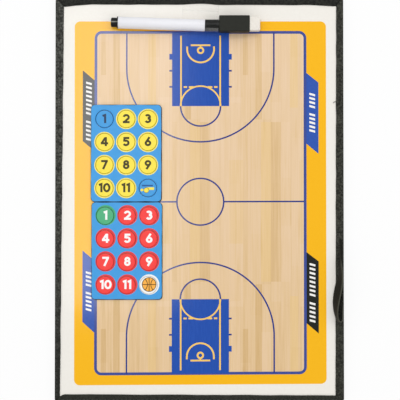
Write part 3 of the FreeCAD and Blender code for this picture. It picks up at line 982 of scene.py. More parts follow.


# A light grey line along the plug's crest is a painted highlight.
CREST_HIGHLIGHT_Y = 134.5
CREST_HIGHLIGHT_WIDTH = 0.35
barrel_white = moulded("barrel_white", (236, 236, 241), (231, 231, 236),
                       roughness=0.3, speckle=2.0, relief=0.01)
plug_black = moulded("plug_black", (12, 12, 8), (6, 6, 4), roughness=0.05, speckle=3.0, relief=0.003)
crest_highlight = abs(plug_black.axis(plug_black.millimetres(), "Y") - CREST_HIGHLIGHT_Y) < CREST_HIGHLIGHT_WIDTH
plug_black.tint(crest_highlight, (9, 9, 6), (128, 128, 118))
plug_black.feed({"Specular IOR Level": 0.25})
print("marker plastics ready")

# %% Barrel and plug
barrel_profile = [
    (6.05, 3.7), (5.47, 3.72), (5.45, 4.2), (5.5, 4.4), (5.7, 4.5), (40.0, 4.5), (71.25, 4.5),
    (71.48, 4.43), (71.55, 4.25), (71.55, 3.4), (71.65, 3.35), (79.15, 3.35), (79.5, 3.2), (79.55, 2.8),
    (79.15, 2.63), (70.05, 2.6), (70.05, 3.7),
]
barrel_rings = askew(lathe(barrel_profile), MARKER_START)
barrel = piece("marker_barrel_tube", [(loft(barrel_rings, loop=True), 0)], [barrel_white], "marker",
               ("marker_barrel",), crease=30)


def ribbed(rings, start, end, ribs, depth):
    """Sinks lengthwise flutes between two stations of a turned piece.

    Its radius is multiplied by 1 - depth * (0.5 + 0.5 cos(ribs a))."""
    angle = np.arctan2(rings[..., 2], rings[..., 1])
    inside = (rings[..., 0] > start) & (rings[..., 0] < end)
    scale = 1 - depth * inside * (0.5 + 0.5 * np.cos(ribs * angle))
    return rings * np.stack([np.ones_like(scale), scale, scale], -1)


plug_profile = [
    (0.02, 0.3), (0.0, 2.7), (0.12, 3.2), (0.45, 3.55), (0.8, 3.68), (1.2, 3.7), (3.95, 3.7),
    (4.45, 3.72), (4.63, 3.9), (4.67, 4.55), (4.8, 4.68), (5.3, 4.68), (5.43, 4.55), (5.45, 3.65),
    (10.65, 3.62), (10.75, 3.2),
]
plug_rings = ribbed(lathe(plug_profile, around=144), start=0.6, end=4.35, ribs=8, depth=0.02)
plug = piece("barrel_plug_knob", [(loft(askew(plug_rings, MARKER_START)), 0)], [plug_black], "marker",
             ("barrel_plug",), crease=45)
print("barrel and plug faces:", len(barrel.data.polygons), len(plug.data.polygons))

# %% [markdown]
# The cap is right as the part has it: a round collar moulded in one with the square housing, which
# lies straight on the board. It only needs its two finishes, a polished collar and a satin housing,
# told apart by where a point lies.

# %% Cap finish on the part's own shape
HOUSING_START = 15.0
COLLAR_ROUGHNESS = 0.16
SATIN_ROUGHNESS = 0.34
SPARK_ROUGHNESS = 0.06


def cap_finish():
    """Gloss that changes where the collar meets the housing, at a set distance across the board."""
    finish = Finish("cap_black", {"Specular IOR Level": 0.2})
    place = finish.millimetres()
    housing = finish.axis(place, "X") > HOUSING_START
    cloud = finish.noise(place, scale=0.3, detail=3.0)
    spark = finish.noise(place, scale=3.5)
    satin = finish.blend(cloud, screen(36, 37, 30), screen(27, 28, 22))
    finish.feed({"Base Color": finish.blend(housing, screen(12, 13, 11), satin)})
    finish.feed({"Roughness": COLLAR_ROUGHNESS + housing * SATIN_ROUGHNESS + spark * SPARK_ROUGHNESS})
    finish.bump(spark * housing, strength=0.35, depth_mm=0.03)
    return finish


def dress(node, finish):
    """Gives a carried-over CAD node its finish."""
    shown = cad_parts[node]
    shown.data.materials.clear()
    shown.data.materials.append(finish.material)


dress("cap_shell", cap_finish())
print("cap dressed")

# %% [markdown]
# The eraser is a felt block, so it can't stay a smooth solid. Its skin is a rounded box carried
# along the housing, and seeded noise pushes its points in and out as pressed fibres do. The finish
# adds finer fibres and a soft sheen.

# %% Felt eraser
felt_white = Finish("felt_white", {"Roughness": 0.95, "Sheen Weight": 0.35, "Specular IOR Level": 0.1})
fibre = felt_white.noise(felt_white.millimetres(), scale=2.6, detail=4.0)
tuft = felt_white.noise(felt_white.millimetres(), scale=0.7)
felt_white.tint(tuft * 0.6 + fibre * 0.4, (224, 217, 205), (247, 243, 236))
felt_white.bump(fibre, strength=0.8, depth_mm=0.25)
felt_low, felt_high = node_box("eraser_felt")
FELT = (*(felt_high - felt_low)[1:], 0.8)
FELT_ROUND = 0.9
FELT_STATIONS = 15
FELT_STEPS = 12
LONG_EDGE = 1.0
FELT_NAP = 0.035
FELT_BACK_GAP = 0.1


def felt_rings(start, end, seed):
    """Rounded rectangles along X, drawn in over the last stretch by a quarter circle, then roughened."""
    bend = np.linspace(0, math.pi / 2, 6)
    straight = np.linspace(start, end - FELT_ROUND, FELT_STATIONS)
    station = np.concatenate([straight, end - FELT_ROUND + FELT_ROUND * np.sin(bend[1:])])
    inset = np.concatenate([np.zeros(FELT_STATIONS), FELT_ROUND - FELT_ROUND * np.cos(bend[1:])])
    outline = rounded_outline(*FELT, steps=4)
    length = np.linalg.norm(np.roll(outline, -1, 0) - outline, axis=1)
    outline = walked(outline, np.where(length > LONG_EDGE, FELT_STEPS, 1))
    shrink = 1 - inset[:, None, None] * 2 / np.array(FELT[:2])
    rings = outline * shrink
    wool = np.random.default_rng(seed).normal(0, FELT_NAP, rings.shape[:2])[..., None]
    rings = rings * (1 + wool / 3)
    rings = rings + (felt_low + felt_high)[1:] / 2
    along = np.broadcast_to(station[:, None, None], (*rings.shape[:2], 1))
    return np.concatenate([along, rings], -1)


felt_skin = loft(felt_rings(felt_low[0] + FELT_BACK_GAP, felt_high[0], seed=17))
felt = piece("eraser_felt_block", [(felt_skin, 0)], [felt_white], "cap",
             ("eraser_felt",), crease=70)
print("felt faces:", len(felt.data.polygons))

# %% [markdown]
# The sleeve is a strip of clear vinyl bent round the marker and welded to itself; its double tail
# goes under the top tape. A strip is a centre line with a thickness, so the section is that line
# offset to both sides. A value per point clouds the film grey at its weld, and paints a pale
# reflection along its cut edges and along its bend over the collar; the rest stays nearly invisible.

# %% Section of the clear sleeve
FILM_THICKNESS = 0.25
SLEEVE_WIDTH = 28.2
SLEEVE_BEND = 5.325
SLEEVE_AXIS = 5.45
WELD = 11.65
TAIL = 20.15
SLEEVE_START = np.array([SLEEVE_X, 132.3, film_top])
WELD_HEIGHT = 0.375
UPPER_TAIL = 0.39
LOWER_TAIL = 0.125
FILM_PLAY = 0.005


def sleeve_line():
    """Centre line, as (towards the board's top, up).

    It runs along the upper tail, the slope, the bend round the marker, the floor and the lower tail."""
    drop = SLEEVE_AXIS - WELD_HEIGHT
    leave = math.acos(SLEEVE_BEND / math.hypot(WELD, drop)) - math.atan2(drop, WELD)
    bend = np.linspace(leave, 1.5 * math.pi, 61)
    around = (0, SLEEVE_AXIS) + SLEEVE_BEND * spokes(bend)
    slope = [(WELD + 0.35, 0.42), (WELD - 0.4, 0.62)]
    upper = np.array([(TAIL, UPPER_TAIL), (WELD + 1.1, UPPER_TAIL), *slope])
    lower = np.array([(y, LOWER_TAIL) for y in (WELD - 0.5, WELD + 0.5, TAIL)])
    return np.concatenate([upper, around, lower])


line = sleeve_line()
half_film = sideways(line) * (FILM_THICKNESS / 2 - FILM_PLAY)
sleeve_section = np.concatenate([line + half_film, (line - half_film)[::-1]])
print("sleeve section:", len(sleeve_section), "points")

# %% Sleeve film and its clouding
STATION_INSETS = np.array([0.0, 0.08, 0.4, 0.9, 7.1])
EDGE_WIDTH = 0.9
EDGE_REFLECTION = 0.4
EDGE_START = 5.0
WELD_OFFSET = 0.3
WELD_WIDTH = 0.45
WELD_LEVEL = 1.0
WELD_SKEW = -0.022
SKEW_FADE = 2.5
BEND_START = 2.3
BEND_END = 4.75
BEND_FADE = 0.5
BEND_LEVEL = 5.0
BEND_REFLECTION = 1.1
COLLAR_FADE = 4.0
COLLAR_LEAST = 0.25
CLEAR_ALPHA = 0.001
HAZE_AND_REFLECTION_ALPHA = 0.06
HAZE_ALPHA = 0.002
half_sleeve = SLEEVE_WIDTH / 2
station = np.concatenate([STATION_INSETS - half_sleeve, [0.0], half_sleeve - STATION_INSETS[::-1]])
near_weld = np.clip(1 - abs(sleeve_section[:, 0] - WELD - WELD_OFFSET) / SKEW_FADE, 0, 1)
skew = WELD_SKEW * station[:, None] * near_weld
sleeve_rings = np.stack([
    np.broadcast_to(station[:, None], skew.shape), sleeve_section[:, 0] + skew,
    np.broadcast_to(sleeve_section[:, 1], skew.shape),
], -1)
across, above = sleeve_section.T
# Painted reflection: the film is paler along its cut edges, and along its bend where it lies over the
# collar.
edge_reflection = np.clip((abs(station) - half_sleeve + EDGE_WIDTH) / EDGE_WIDTH, 0, 1)[:, None]
edge_reflection = edge_reflection * (across > EDGE_START) * EDGE_REFLECTION
weld_cloud = np.exp(-((across - WELD - WELD_OFFSET) / WELD_WIDTH) ** 2) * (above < WELD_LEVEL)
over_collar = np.clip(station / COLLAR_FADE, COLLAR_LEAST, 1)[:, None]
on_bend = (across > -BEND_END) * (above > BEND_LEVEL)
bend_reflection = np.clip((-across - BEND_START) / BEND_FADE, 0, BEND_REFLECTION) * on_bend
weld_haze_and_reflection = np.maximum(np.maximum(edge_reflection, weld_cloud), bend_reflection * over_collar)
greying = np.broadcast_to(weld_cloud, weld_haze_and_reflection.shape)
sleeve_film = Finish("sleeve_film", {"Roughness": 0.16, "Specular IOR Level": 0.5})
haze = sleeve_film.noise(sleeve_film.millimetres(), scale=0.5, detail=3.0)
sleeve_film.tint(sleeve_film.mark("greying"), (240, 240, 238), (164, 166, 158))
film_alpha = CLEAR_ALPHA + sleeve_film.mark("weld_haze_and_reflection") * HAZE_AND_REFLECTION_ALPHA + haze * HAZE_ALPHA
sleeve_film.feed({"Alpha": film_alpha})
sleeve_marks = {"weld_haze_and_reflection": weld_haze_and_reflection.ravel(), "greying": greying.ravel()}
sleeve = piece("pen_sleeve_film", [(loft(askew(sleeve_rings, SLEEVE_START)), 0)], [sleeve_film], "board",
               ("pen_sleeve",), marks=sleeve_marks)
sleeve.visible_shadow = False
sleeve.visible_diffuse = False
print("sleeve faces:", len(sleeve.data.polygons))

# %% [markdown]
# A magnet sheet is printed vinyl on black magnetic rubber, with twelve discs punched through it.
# Cutting holes with a boolean would leave ragged faces, so each disc gets a square cell whose grid
# runs from the hole out to the cell's border, and neighbouring cells share their border points. The
# punch presses the vinyl down, which the small shoulder round each hole shows.

# %% Vinyl and rubber
VINYL_ROUGHNESS = 0.29
VINYL_DULLNESS = 0.1


def vinyl(name, colour, shade):
    """Printed vinyl: a slight sheen, an orange-peel skin and a nearly even colour."""
    finish = Finish(name, {"Specular IOR Level": 0.3})
    place = finish.millimetres()
    cloud = finish.noise(place, scale=0.3, detail=3.0)
    peel = finish.noise(place, scale=1.6)
    finish.tint(cloud, colour, shade)
    finish.feed({"Roughness": VINYL_ROUGHNESS + cloud * VINYL_DULLNESS})
    finish.bump(peel, strength=0.25, depth_mm=0.02)
    return finish


def vinyls(kind, colours):
    """One printed vinyl for each name, with its colour and its shade."""
    return {name: vinyl(f"{kind}_{name}", *pair) for name, pair in colours.items()}


rubber_black = vinyl("rubber_black", (34, 33, 31), (24, 24, 22))
sheet_blue = vinyl("sheet_blue", (66, 160, 226), (58, 152, 219))
disc_finishes = vinyls("disc", {
    "blue": ((68, 160, 224), (58, 150, 216)),
    "yellow": ((251, 231, 82), (247, 224, 68)),
    "green": ((80, 180, 128), (72, 170, 120)),
    "red": ((250, 68, 64), (243, 58, 56)),
    "white": ((250, 250, 248), (243, 243, 241)),
})
# Darker copies of each disc colour for the disc's punched shoulder: painted shade along the cut.
cut_shade_finishes = vinyls("cut_shade", {
    "blue": ((30, 96, 160), (24, 86, 148)),
    "yellow": ((206, 180, 36), (196, 168, 28)),
    "green": ((34, 128, 84), (26, 116, 74)),
    "red": ((208, 44, 46), (196, 38, 40)),
    "white": ((226, 224, 220), (214, 212, 208)),
})
# The yellow ring round each hole is paler than the disc's yellow: a painted highlight.
ring_finishes = disc_finishes | vinyls("ring", {
    "yellow": ((255, 240, 118), (252, 236, 104)),
    "red": ((232, 76, 76), (224, 68, 70)),
})
numeral_finishes = vinyls("numeral", {
    "olive": ((66, 58, 4), (56, 49, 2)),
    "navy": ((34, 62, 96), (28, 54, 86)),
    "white": ((252, 252, 250), (246, 246, 244)),
})
icon_finishes = vinyls("icon", {
    "orange": ((252, 182, 76), (249, 174, 64)),
    "brown": ((92, 62, 8), (80, 54, 6)),
})
print("vinyls:", len(disc_finishes))

# %% Cells of a magnet sheet
PITCH = np.array([16.6, 17.6])
HOLE_RADIUS = 6.95
RING_RADIUS = 7.75
SHEET_CORNER = 2.8
PER_EDGE = 24
# The foot is moved right and down, so black rubber shows at the right and lower edges: painted shade.
SHADE_SHIFT = np.array([0.3, -0.3])
TRIM = 0.26
TRIM_WAVER = 0.4
TRIM_WAVES = 0.4
TINY = 1e-9
ON_EDGE = 1e-6
SHOULDER = ((0.0, 0.16), (0.05, 0.06), (0.16, 0.0))
RING_LEAST = 0.2
BORDER_ROW = 6
FOOT_ROW = 7
RUBBER, VINYL, RING = range(3)


def square_walk(low, high):
    """Points round a rectangle, PER_EDGE on each edge, anticlockwise from its lower left corner."""
    return walked(bar(*low, *high), [PER_EDGE] * 4)


def soften(points, low, high, radius):
    """Moves points that lie beyond a sheet's corner circles onto them."""
    centre = np.clip(points, low + radius, high - radius)
    off = points - centre
    length = np.linalg.norm(off, axis=-1, keepdims=True)
    in_corner = np.all(abs(off) > TINY, axis=-1, keepdims=True)
    return np.where(in_corner, centre + off / np.maximum(length, TINY) * radius, points)


def trimmed(walk, low, high):
    """Edge of the vinyl, drawn in from the sheet's edge as trimmed by hand.

    The step inward is TRIM (1 + TRIM_WAVER sin(TRIM_WAVES (x + y)))."""
    inward = TRIM * (1 + TRIM_WAVER * np.sin(walk.sum(-1, keepdims=True) * TRIM_WAVES))
    return soften(np.clip(walk, low + inward, high - inward), low + TRIM, high - TRIM, SHEET_CORNER)


def sheared(walk, points, low, high):
    """Bottom border, moved right and down where its walk lies on the sheet's edge: black rubber shown as
    painted shade.
    """
    near = (abs(walk - low) < ON_EDGE) | (abs(walk - high) < ON_EDGE)
    on_edge = np.any(near, axis=-1, keepdims=True)
    return points + on_edge * SHADE_SHIFT


def sheet_cell(centre, low, high, sheet_low, sheet_high, base, top, shift):
    """Grid of one cell: rings from the hole's bottom edge up its wall, over its shoulder, past the
    printed ring and out to the cell's border, then back under to the hole.

    The printed ring's radius t along a ray e solves |t e - shift| = RING_RADIUS."""
    walk = square_walk(low, high)
    border = trimmed(walk, sheet_low, sheet_high) - centre
    ray = unit(border)
    across = ray @ shift
    ring = across + np.sqrt(across ** 2 - shift @ shift + RING_RADIUS ** 2)
    ring = np.maximum(ring, HOLE_RADIUS + RING_LEAST)
    reach = np.linalg.norm(border, axis=1)
    hole = np.full(len(ray), HOLE_RADIUS)
    middle = ring * 0.5 + reach * 0.5
    rows = [(hole, base)] + [(hole + out, top - down) for out, down in SHOULDER]
    rows += [(ring, top), (middle, top), (reach, top), (reach, base), (middle, base)]
    rings = np.stack([raised(centre + ray * r[:, None], z) for r, z in rows])
    foot = soften(walk, sheet_low, sheet_high, SHEET_CORNER)
    rings[FOOT_ROW, :, :2] = sheared(walk, foot, sheet_low, sheet_high)
    return rings


def sheet_skins(rings):
    """Skin of one cell without the border wall that neighbours would hide, and its face numbers."""
    points, quads, _ = loft(rings, loop=True)
    around = rings.shape[1]
    row = np.repeat(np.arange(len(rings)), around)
    keep = row != BORDER_ROW
    number = np.select([row < 1, row < 4, row < BORDER_ROW], [RUBBER, RING, VINYL], RUBBER)
    return (points, quads[keep], []), number[keep]


print("cell borders have", 4 * PER_EDGE, "points")

# %% [markdown]
# The rim of the sheet is one closed wall round all the cells, and the discs stand in their holes
# with the same pressed shoulder, coloured darker as painted shade of the cut. On the lower sheet the
# print sits half a millimetre off the punch, towards the upper right, as the photo shows.

# %% Build a magnet sheet
SHEET_LIFT = 0.01
RIM_DROPS = (0.3, 0.1, 0.0)
COLUMNS = 3
COLUMN_CUTS = np.array([-0.5, 0.5])
ROW_CUTS = np.array([-1.0, 0.0, 1.0])


def divided(line):
    """Points along a line of stops, PER_EDGE in each span, without the last stop."""
    t = np.arange(PER_EDGE)
    return np.concatenate([a + (b - a) * t / PER_EDGE for a, b in zip(line[:-1], line[1:])])


def rim_walk(low, high, middle):
    """Points round the whole sheet that fall on its cells' own border points, anticlockwise."""
    cuts = [middle[0] + PITCH[0] * COLUMN_CUTS, middle[1] + PITCH[1] * ROW_CUTS]
    across, up = (np.concatenate([[low[i]], cuts[i], [high[i]]]) for i in range(2))
    edges = [
        (divided(across), low[1]), (high[0], divided(up)),
        (divided(across[::-1]), high[1]), (low[0], divided(up[::-1])),
    ]
    return np.concatenate([np.column_stack(np.broadcast_arrays(x, y)) for x, y in edges])


def magnet_sheet(node, body, discs, colours, shift):
    """Whole sheet from its node's box and its discs: cells in rows from the top left, then the rim wall."""
    low, high = node_box(node)
    base, top = low[2] + SHEET_LIFT, high[2]
    flat_low, flat_high = low[:2], high[:2]
    centres = np.array([sum(node_box(disc))[:2] / 2 for disc in discs])
    parts = []
    names = list(dict.fromkeys(colours))
    last_row = len(centres) // COLUMNS - 1
    for number, (centre, colour) in enumerate(zip(centres, colours)):
        row, column = divmod(number, COLUMNS)
        cell_low = np.where([column == 0, row == last_row], flat_low, centre - PITCH / 2)
        cell_high = np.where([column == COLUMNS - 1, row == 0], flat_high, centre + PITCH / 2)
        rings = sheet_cell(centre, cell_low, cell_high, flat_low, flat_high, base, top, shift)
        skin, face = sheet_skins(rings)
        parts.append((skin, np.where(face == RING, RING + names.index(colour), face)))
    walk = rim_walk(flat_low, flat_high, centres.mean(0))
    rim = soften(walk, flat_low, flat_high, SHEET_CORNER)
    foot = sheared(walk, rim, flat_low, flat_high)
    face = trimmed(walk, flat_low, flat_high)
    rows = [(foot, base)] + [(line, top - drop) for line, drop in zip((rim, face, face), RIM_DROPS)]
    points, quads, _ = loft(np.stack([raised(outline, height) for outline, height in rows]))
    parts.append(((points, quads, []), np.repeat([RUBBER, RUBBER, VINYL], len(rim))))
    finishes = [rubber_black, sheet_blue] + [ring_finishes[name] for name in names]
    made = piece(node + "_vinyl", parts, finishes, body, (node,), crease=50)
    return made, centres, base, top


upper_discs = [f"home_disc_{number:02d}" for number in range(1, 12)] + ["whistle_disc"]
lower_discs = [f"away_disc_{number:02d}" for number in range(1, 12)] + ["ball_disc"]
upper_colours = ["blue"] + ["yellow"] * 10 + ["blue"]
lower_colours = ["green"] + ["red"] * 10 + ["white"]
no_shift = np.zeros(2)
numeral_shift = np.array([0.0, 0.3])
print_shift = np.array([0.5, 0.5])
upper_sheet, upper_centres, magnet_base, magnet_top = magnet_sheet(
    "magnet_sheet_upper", "upper_sheet", upper_discs, upper_colours, no_shift)
lower_sheet, lower_centres, _, _ = magnet_sheet(
    "magnet_sheet_lower", "lower_sheet", lower_discs, lower_colours, print_shift)
print("magnet sheets, faces:", len(upper_sheet.data.polygons), len(lower_sheet.data.polygons))

# %% [markdown]
# The numerals are bold and geometric. A built-in font has thin curved shapes that don't match, so
# each digit is a few pen strokes: arcs and straight runs of one width. Later strokes of a digit lie
# a hair higher, so no two faces share a plane.

# %% Digits as pen strokes
PEN = 1.62
TALL = 3.72
MID = TALL - PEN / 2
DIGIT_SIZE = np.array([1.05, 0.93])
INK_SUNK = 0.05
INK_RISE = 0.03
STROKE_RISE = 0.006


def digit_strokes(digit):
    """Centre lines of a digit's strokes, about its own middle, with True for a closed ring."""
    six_bowl = circle((0, -1.24), 1.62, 48)
    six_tail = np.array([(1.1, TALL), (-1.32, -0.4)])
    shapes = {
        "0": [(circle((0, 0), 1.0, 64) * (1.9, MID), True)],
        "1": [([(-1.4, 2.15), (0.46, 2.92), (0.46, -TALL)], False)],
        "2": [(np.concatenate([arc((0, 1.06), 1.8, 168, -38, 40), [(-1.4, -2.8)]]), False),
              ([(-2.45, -MID), (2.5, -MID)], False)],
        "3": [(arc((-0.15, 1.37), 1.48, 152, -92, 40), False),
              (arc((-0.15, -1.15), 1.7, 92, -152, 40), False)],
        "4": [([(0.66, 3.2), (-1.95, -1.25)], False), ([(-2.65, -1.4), (2.7, -1.4)], False),
              ([(1.0, TALL), (1.0, -TALL)], False)],
        "5": [([(-2.0, MID), (2.2, MID)], False), ([(-1.25, TALL), (-1.4, 0.0)], False),
              (arc((-0.2, -1.05), 1.82, 128, -152, 48), False)],
        "6": [(six_bowl, True), (six_tail, False)],
        "7": [([(-2.4, MID), (2.45, MID)], False), ([(1.75, 3.1), (-0.95, -TALL)], False)],
        "8": [(circle((0, 1.52), 1.32, 48), True), (circle((0, -1.26), 1.57, 48), True)],
        "9": [(-six_bowl, True), (-six_tail, False)],
    }
    return shapes[digit]


def numeral(text, centre, base):
    """Skins of a number about a disc's middle: digits side by side, each stroke a hair above the last."""
    spread = {"10": (-2.75, 1.8), "11": (-1.9, 1.7)}.get(text, (0.0,))
    skins = []
    for digit, offset in zip(text, spread):
        for path, closed in digit_strokes(digit):
            top = base + INK_RISE + STROKE_RISE * len(skins)
            placed = np.asarray(path) * DIGIT_SIZE + centre + (offset, 0)
            skins.append(stroke(placed, PEN, base - INK_SUNK, top, closed))
    return skins


print("digit 8 has", len(digit_strokes("8")), "strokes")

# %% [markdown]
# Two discs carry a little picture instead of a number: a plain whistle and a ball with its seams.
# They are the same inks and strokes again.

# %% Whistle and ball
CUT_SHADE_AND_DARK_INK, FACE, FIGURE, SEAM = range(1, 5)
WHISTLE_BODY = (-1.2, -1.95)
WHISTLE_LINE = 0.3
OUTLINE_RISE = 0.05
BALL = 5.45
BALL_EDGE = BALL - 0.2
BALL_SEAM = 0.56
SEAM_RISE = 0.04
SEAM_STEP = 0.005
SIDE_ARC = (6.96, 5.66)


def whistle(centre, base):
    """Skins by finish number: body, mouthpiece, nub and link; a bar above them; the body's outline."""
    plates = [
        (circle(WHISTLE_BODY, 2.1, 48), 0), (bar(-1.0, -1.7, 4.7, 0.3), 1),
        (circle((-4.6, -1.75), 1.05, 32), 0), (bar(-4.3, -2.1, -2.6, -1.5), 2),
        (bar(-4.6, 0.95, 3.8, 2.2), 0),
    ]
    skins = [slab(outline + centre, base - INK_SUNK, base + (INK_RISE + STROKE_RISE * step))
             for outline, step in plates]
    rim = circle(WHISTLE_BODY, 1.95, 48) + centre
    outline = stroke(rim, WHISTLE_LINE, base - INK_SUNK, base + OUTLINE_RISE, closed=True)
    return {FIGURE: skins[:-1], CUT_SHADE_AND_DARK_INK: skins[-1:], SEAM: [outline]}


def ball(centre, base):
    """Skins by finish number: orange disc; its outline, upright, level line and two side arcs."""
    orange = slab(circle((0, 0), BALL, 72) + centre, base - INK_SUNK, base + INK_RISE)
    far, radius = SIDE_ARC
    lines = [
        (circle((0, 0), BALL_EDGE, 72), True),
        ([(0, -BALL_EDGE), (0, BALL_EDGE)], False), ([(-BALL_EDGE, 0), (BALL_EDGE, 0)], False),
        (arc((far, 0), radius, 131, 229, 32), False), (arc((-far, 0), radius, -49, 49, 32), False),
    ]
    seams = [stroke(np.asarray(path) + centre, BALL_SEAM, base - INK_SUNK,
                    base + SEAM_RISE + SEAM_STEP * step, closed)
             for step, (path, closed) in enumerate(lines)]
    return {FIGURE: [orange], SEAM: seams}


pictures = {"whistle": whistle, "ball": ball}
print("ball radius", BALL, "mm")

# %% Punched discs with their print
DISC_RADIUS = 6.8


def disc_rings(centre, base, top):
    """Turned disc: bottom, rubber side, pressed shoulder in painted shade, and printed face, as circles
    about its middle.
    """
    profile = np.array([
        (5.5, 0.0), (6.72, 0.0), (DISC_RADIUS, 0.08), (DISC_RADIUS, top - base - 0.2),
        (DISC_RADIUS - 0.06, top - base - 0.08), (DISC_RADIUS - 0.42, top - base), (5.4, top - base),
    ])
    spun = lathe(profile[:, ::-1], 96)
    return np.stack([spun[..., 1] + centre[0], spun[..., 2] + centre[1], spun[..., 0] + base], -1)


def punched_disc(node, body, text, colour, pen, centre, shift):
    """One disc that stands for its node: rubber below, printed face, and its number or picture."""
    rings = disc_rings(centre, magnet_base, magnet_top)
    row = np.repeat(np.arange(len(rings) - 1), rings.shape[1])
    # The shoulder's faces take the darker copy: painted shade of the cut.
    numbers = np.select([row < 3, row < 5], [RUBBER, CUT_SHADE_AND_DARK_INK], FACE)
    parts = [(loft(rings), np.concatenate([numbers, [RUBBER, FACE]]))]
    finishes = [rubber_black, cut_shade_finishes[colour], disc_finishes[colour], pen]
    place = centre + shift
    if text in pictures:
        finishes.append(icon_finishes["brown"])
        inks = pictures[text](place, magnet_top)
    else:
        inks = {FIGURE: numeral(text, place, magnet_top)}
    for number, skins in inks.items():
        parts += [(skin, number) for skin in skins]
    return piece(node + "_print", parts, finishes, body, (node,), crease=50)


special_inks = {
    "home_disc_01": numeral_finishes["navy"], "whistle_disc": disc_finishes["yellow"],
    "ball_disc": icon_finishes["orange"],
}
sets = (
    (upper_discs, upper_colours, upper_centres, numeral_finishes["olive"], numeral_shift),
    (lower_discs, lower_colours, lower_centres, numeral_finishes["white"], print_shift),
)
for discs, colours, centres, pen, shift in sets:
    for number, (node, colour, centre) in enumerate(zip(discs, colours, centres), 1):
        body = node.replace("_disc", "")
        text = str(number) if number < len(discs) else body
        made = punched_disc(node, body, text, colour, special_inks.get(node, pen), centre, shift)
print("last disc faces:", len(made.data.polygons))

# %% [markdown]
# The wrist strap is flat webbing on its edge, leaning outwards. Its lower edge follows one smooth
# line and its upper edge another; the band between them is carried round as a thin rounded section.
# A value per point counts the woven ribs along and across the band, and another marks the stretch
# where its two edges are painted paler, a painted glare.

# %% Webbing
BAND = 7.0
EDGE_GLARE_FROM_MIDDLE = 2.9
EDGE_GLARE_SHARE = 0.7
RIBS = 5.2
YARNS = 2.2
webbing_look = {"Roughness": 0.72, "Sheen Weight": 0.04, "Specular IOR Level": 0.15}
strap_webbing = Finish("strap_webbing", webbing_look)
along, across = (strap_webbing.mark(name) for name in ("along", "across"))
lines = along * RIBS + across * YARNS, along * RIBS - across * YARNS
weave = lines[0].sine() * lines[1].sine() * 0.5 + 0.5
# Paler band edges over a stretch of the strap: a painted glare on the edges.
edge_glare = (abs(across - BAND / 2) > EDGE_GLARE_FROM_MIDDLE) * strap_webbing.mark("painted_glare")
yarn_colour = strap_webbing.blend(weave, screen(14, 14, 10), screen(36, 36, 28))
strap_colour = strap_webbing.blend(edge_glare * EDGE_GLARE_SHARE, yarn_colour, screen(80, 80, 70))
strap_webbing.feed({"Base Color": strap_colour})
strap_webbing.bump(weave, strength=0.6, depth_mm=0.2)
print("webbing ready")

# %% Line of the strap
strap_top = node_box("wrist_loop")[1][2]
LOWER_EDGE = np.array([
    (107.3, -31.0), (107.4, -40.0), (107.3, -50.0), (106.2, -57.0), (104.5, -62.6), (103.0, -68.4),
    (102.1, -74.0), (101.8, -79.0), (102.5, -85.4), (104.0, -90.6), (105.4, -93.9), (106.9, -94.9),
    (108.2, -92.8), (108.5, -86.0), (108.5, -70.0), (108.5, -50.0), (108.4, -31.0),
])
UPPER_EDGE = np.array([
    (107.3, -31.0), (107.5, -40.0), (107.6, -48.0), (108.3, -55.0), (108.6, -61.0), (108.2, -67.0),
    (107.0, -73.0), (105.7, -79.0), (104.8, -84.6), (104.8, -89.2), (105.7, -92.2), (107.0, -93.0),
    (108.2, -91.6), (108.6, -86.0), (108.6, -70.0), (108.6, -50.0), (108.5, -31.0),
])
STRAP_RISE = 0.3
LEAST_STAND = 0.12
SETTLE = (30.0, 60.0)


def smooth_line(points, count):
    """Catmull-Rom curve: each span blends its two ends and their neighbours with cubic weights."""
    padded = np.concatenate([[2 * points[0] - points[1]], points, [2 * points[-1] - points[-2]]])
    place = np.linspace(0, len(points) - 1 - TINY, count)
    span = place.astype(int)
    t = (place - span)[:, None]
    a, b, c, d = (padded[span + i] for i in range(4))
    square = 2 * a - 5 * b + 4 * c - d
    cube = 3 * b - a - 3 * c + d
    return 0.5 * (2 * b + (c - a) * t + square * t ** 2 + cube * t ** 3)


def strap_rings(count=150):
    """Rounded band between the two edges: its faces step to the left and right of the band's own line.

    Over the first and the last SETTLE millimetres its height falls into the tab, by a smooth step
    3 t^2 - 2 t^3."""
    lower = smooth_line(LOWER_EDGE, count)
    upper = smooth_line(UPPER_EDGE, count)
    bottom = board_top + STRAP_RISE
    side = sideways((lower + upper) / 2)
    rise = np.array([0.0, 0.04, 0.14, 0.32, 0.5, 0.68, 0.86, 0.96, 1.0])
    swell = np.array([0.2, 0.42, 0.48, 0.45, 0.45, 0.45, 0.48, 0.42, 0.2])
    rise = np.concatenate([rise, rise[::-1]])
    swell = np.concatenate([swell, -swell[::-1]])
    lean = (upper - lower)[:, None]
    flat = lower[:, None] + lean * rise[:, None] + side[:, None] * swell[:, None]
    step = np.linalg.norm(np.diff(lower, axis=0), axis=1)
    length = np.concatenate([[0], np.cumsum(step)])
    t = np.clip(np.minimum(length / SETTLE[0], (length[-1] - length) / SETTLE[1]), 0, 1)
    upright = LEAST_STAND + (1 - LEAST_STAND) * (3 * t ** 2 - 2 * t ** 3)
    height = bottom + (strap_top - bottom) * rise * upright[:, None]
    marks = [np.broadcast_to(mark, flat.shape[:2]) for mark in (length[:, None], BAND * rise)]
    return np.concatenate([flat, height[..., None]], -1), marks


print("strap's lower edge has", len(LOWER_EDGE), "stations")

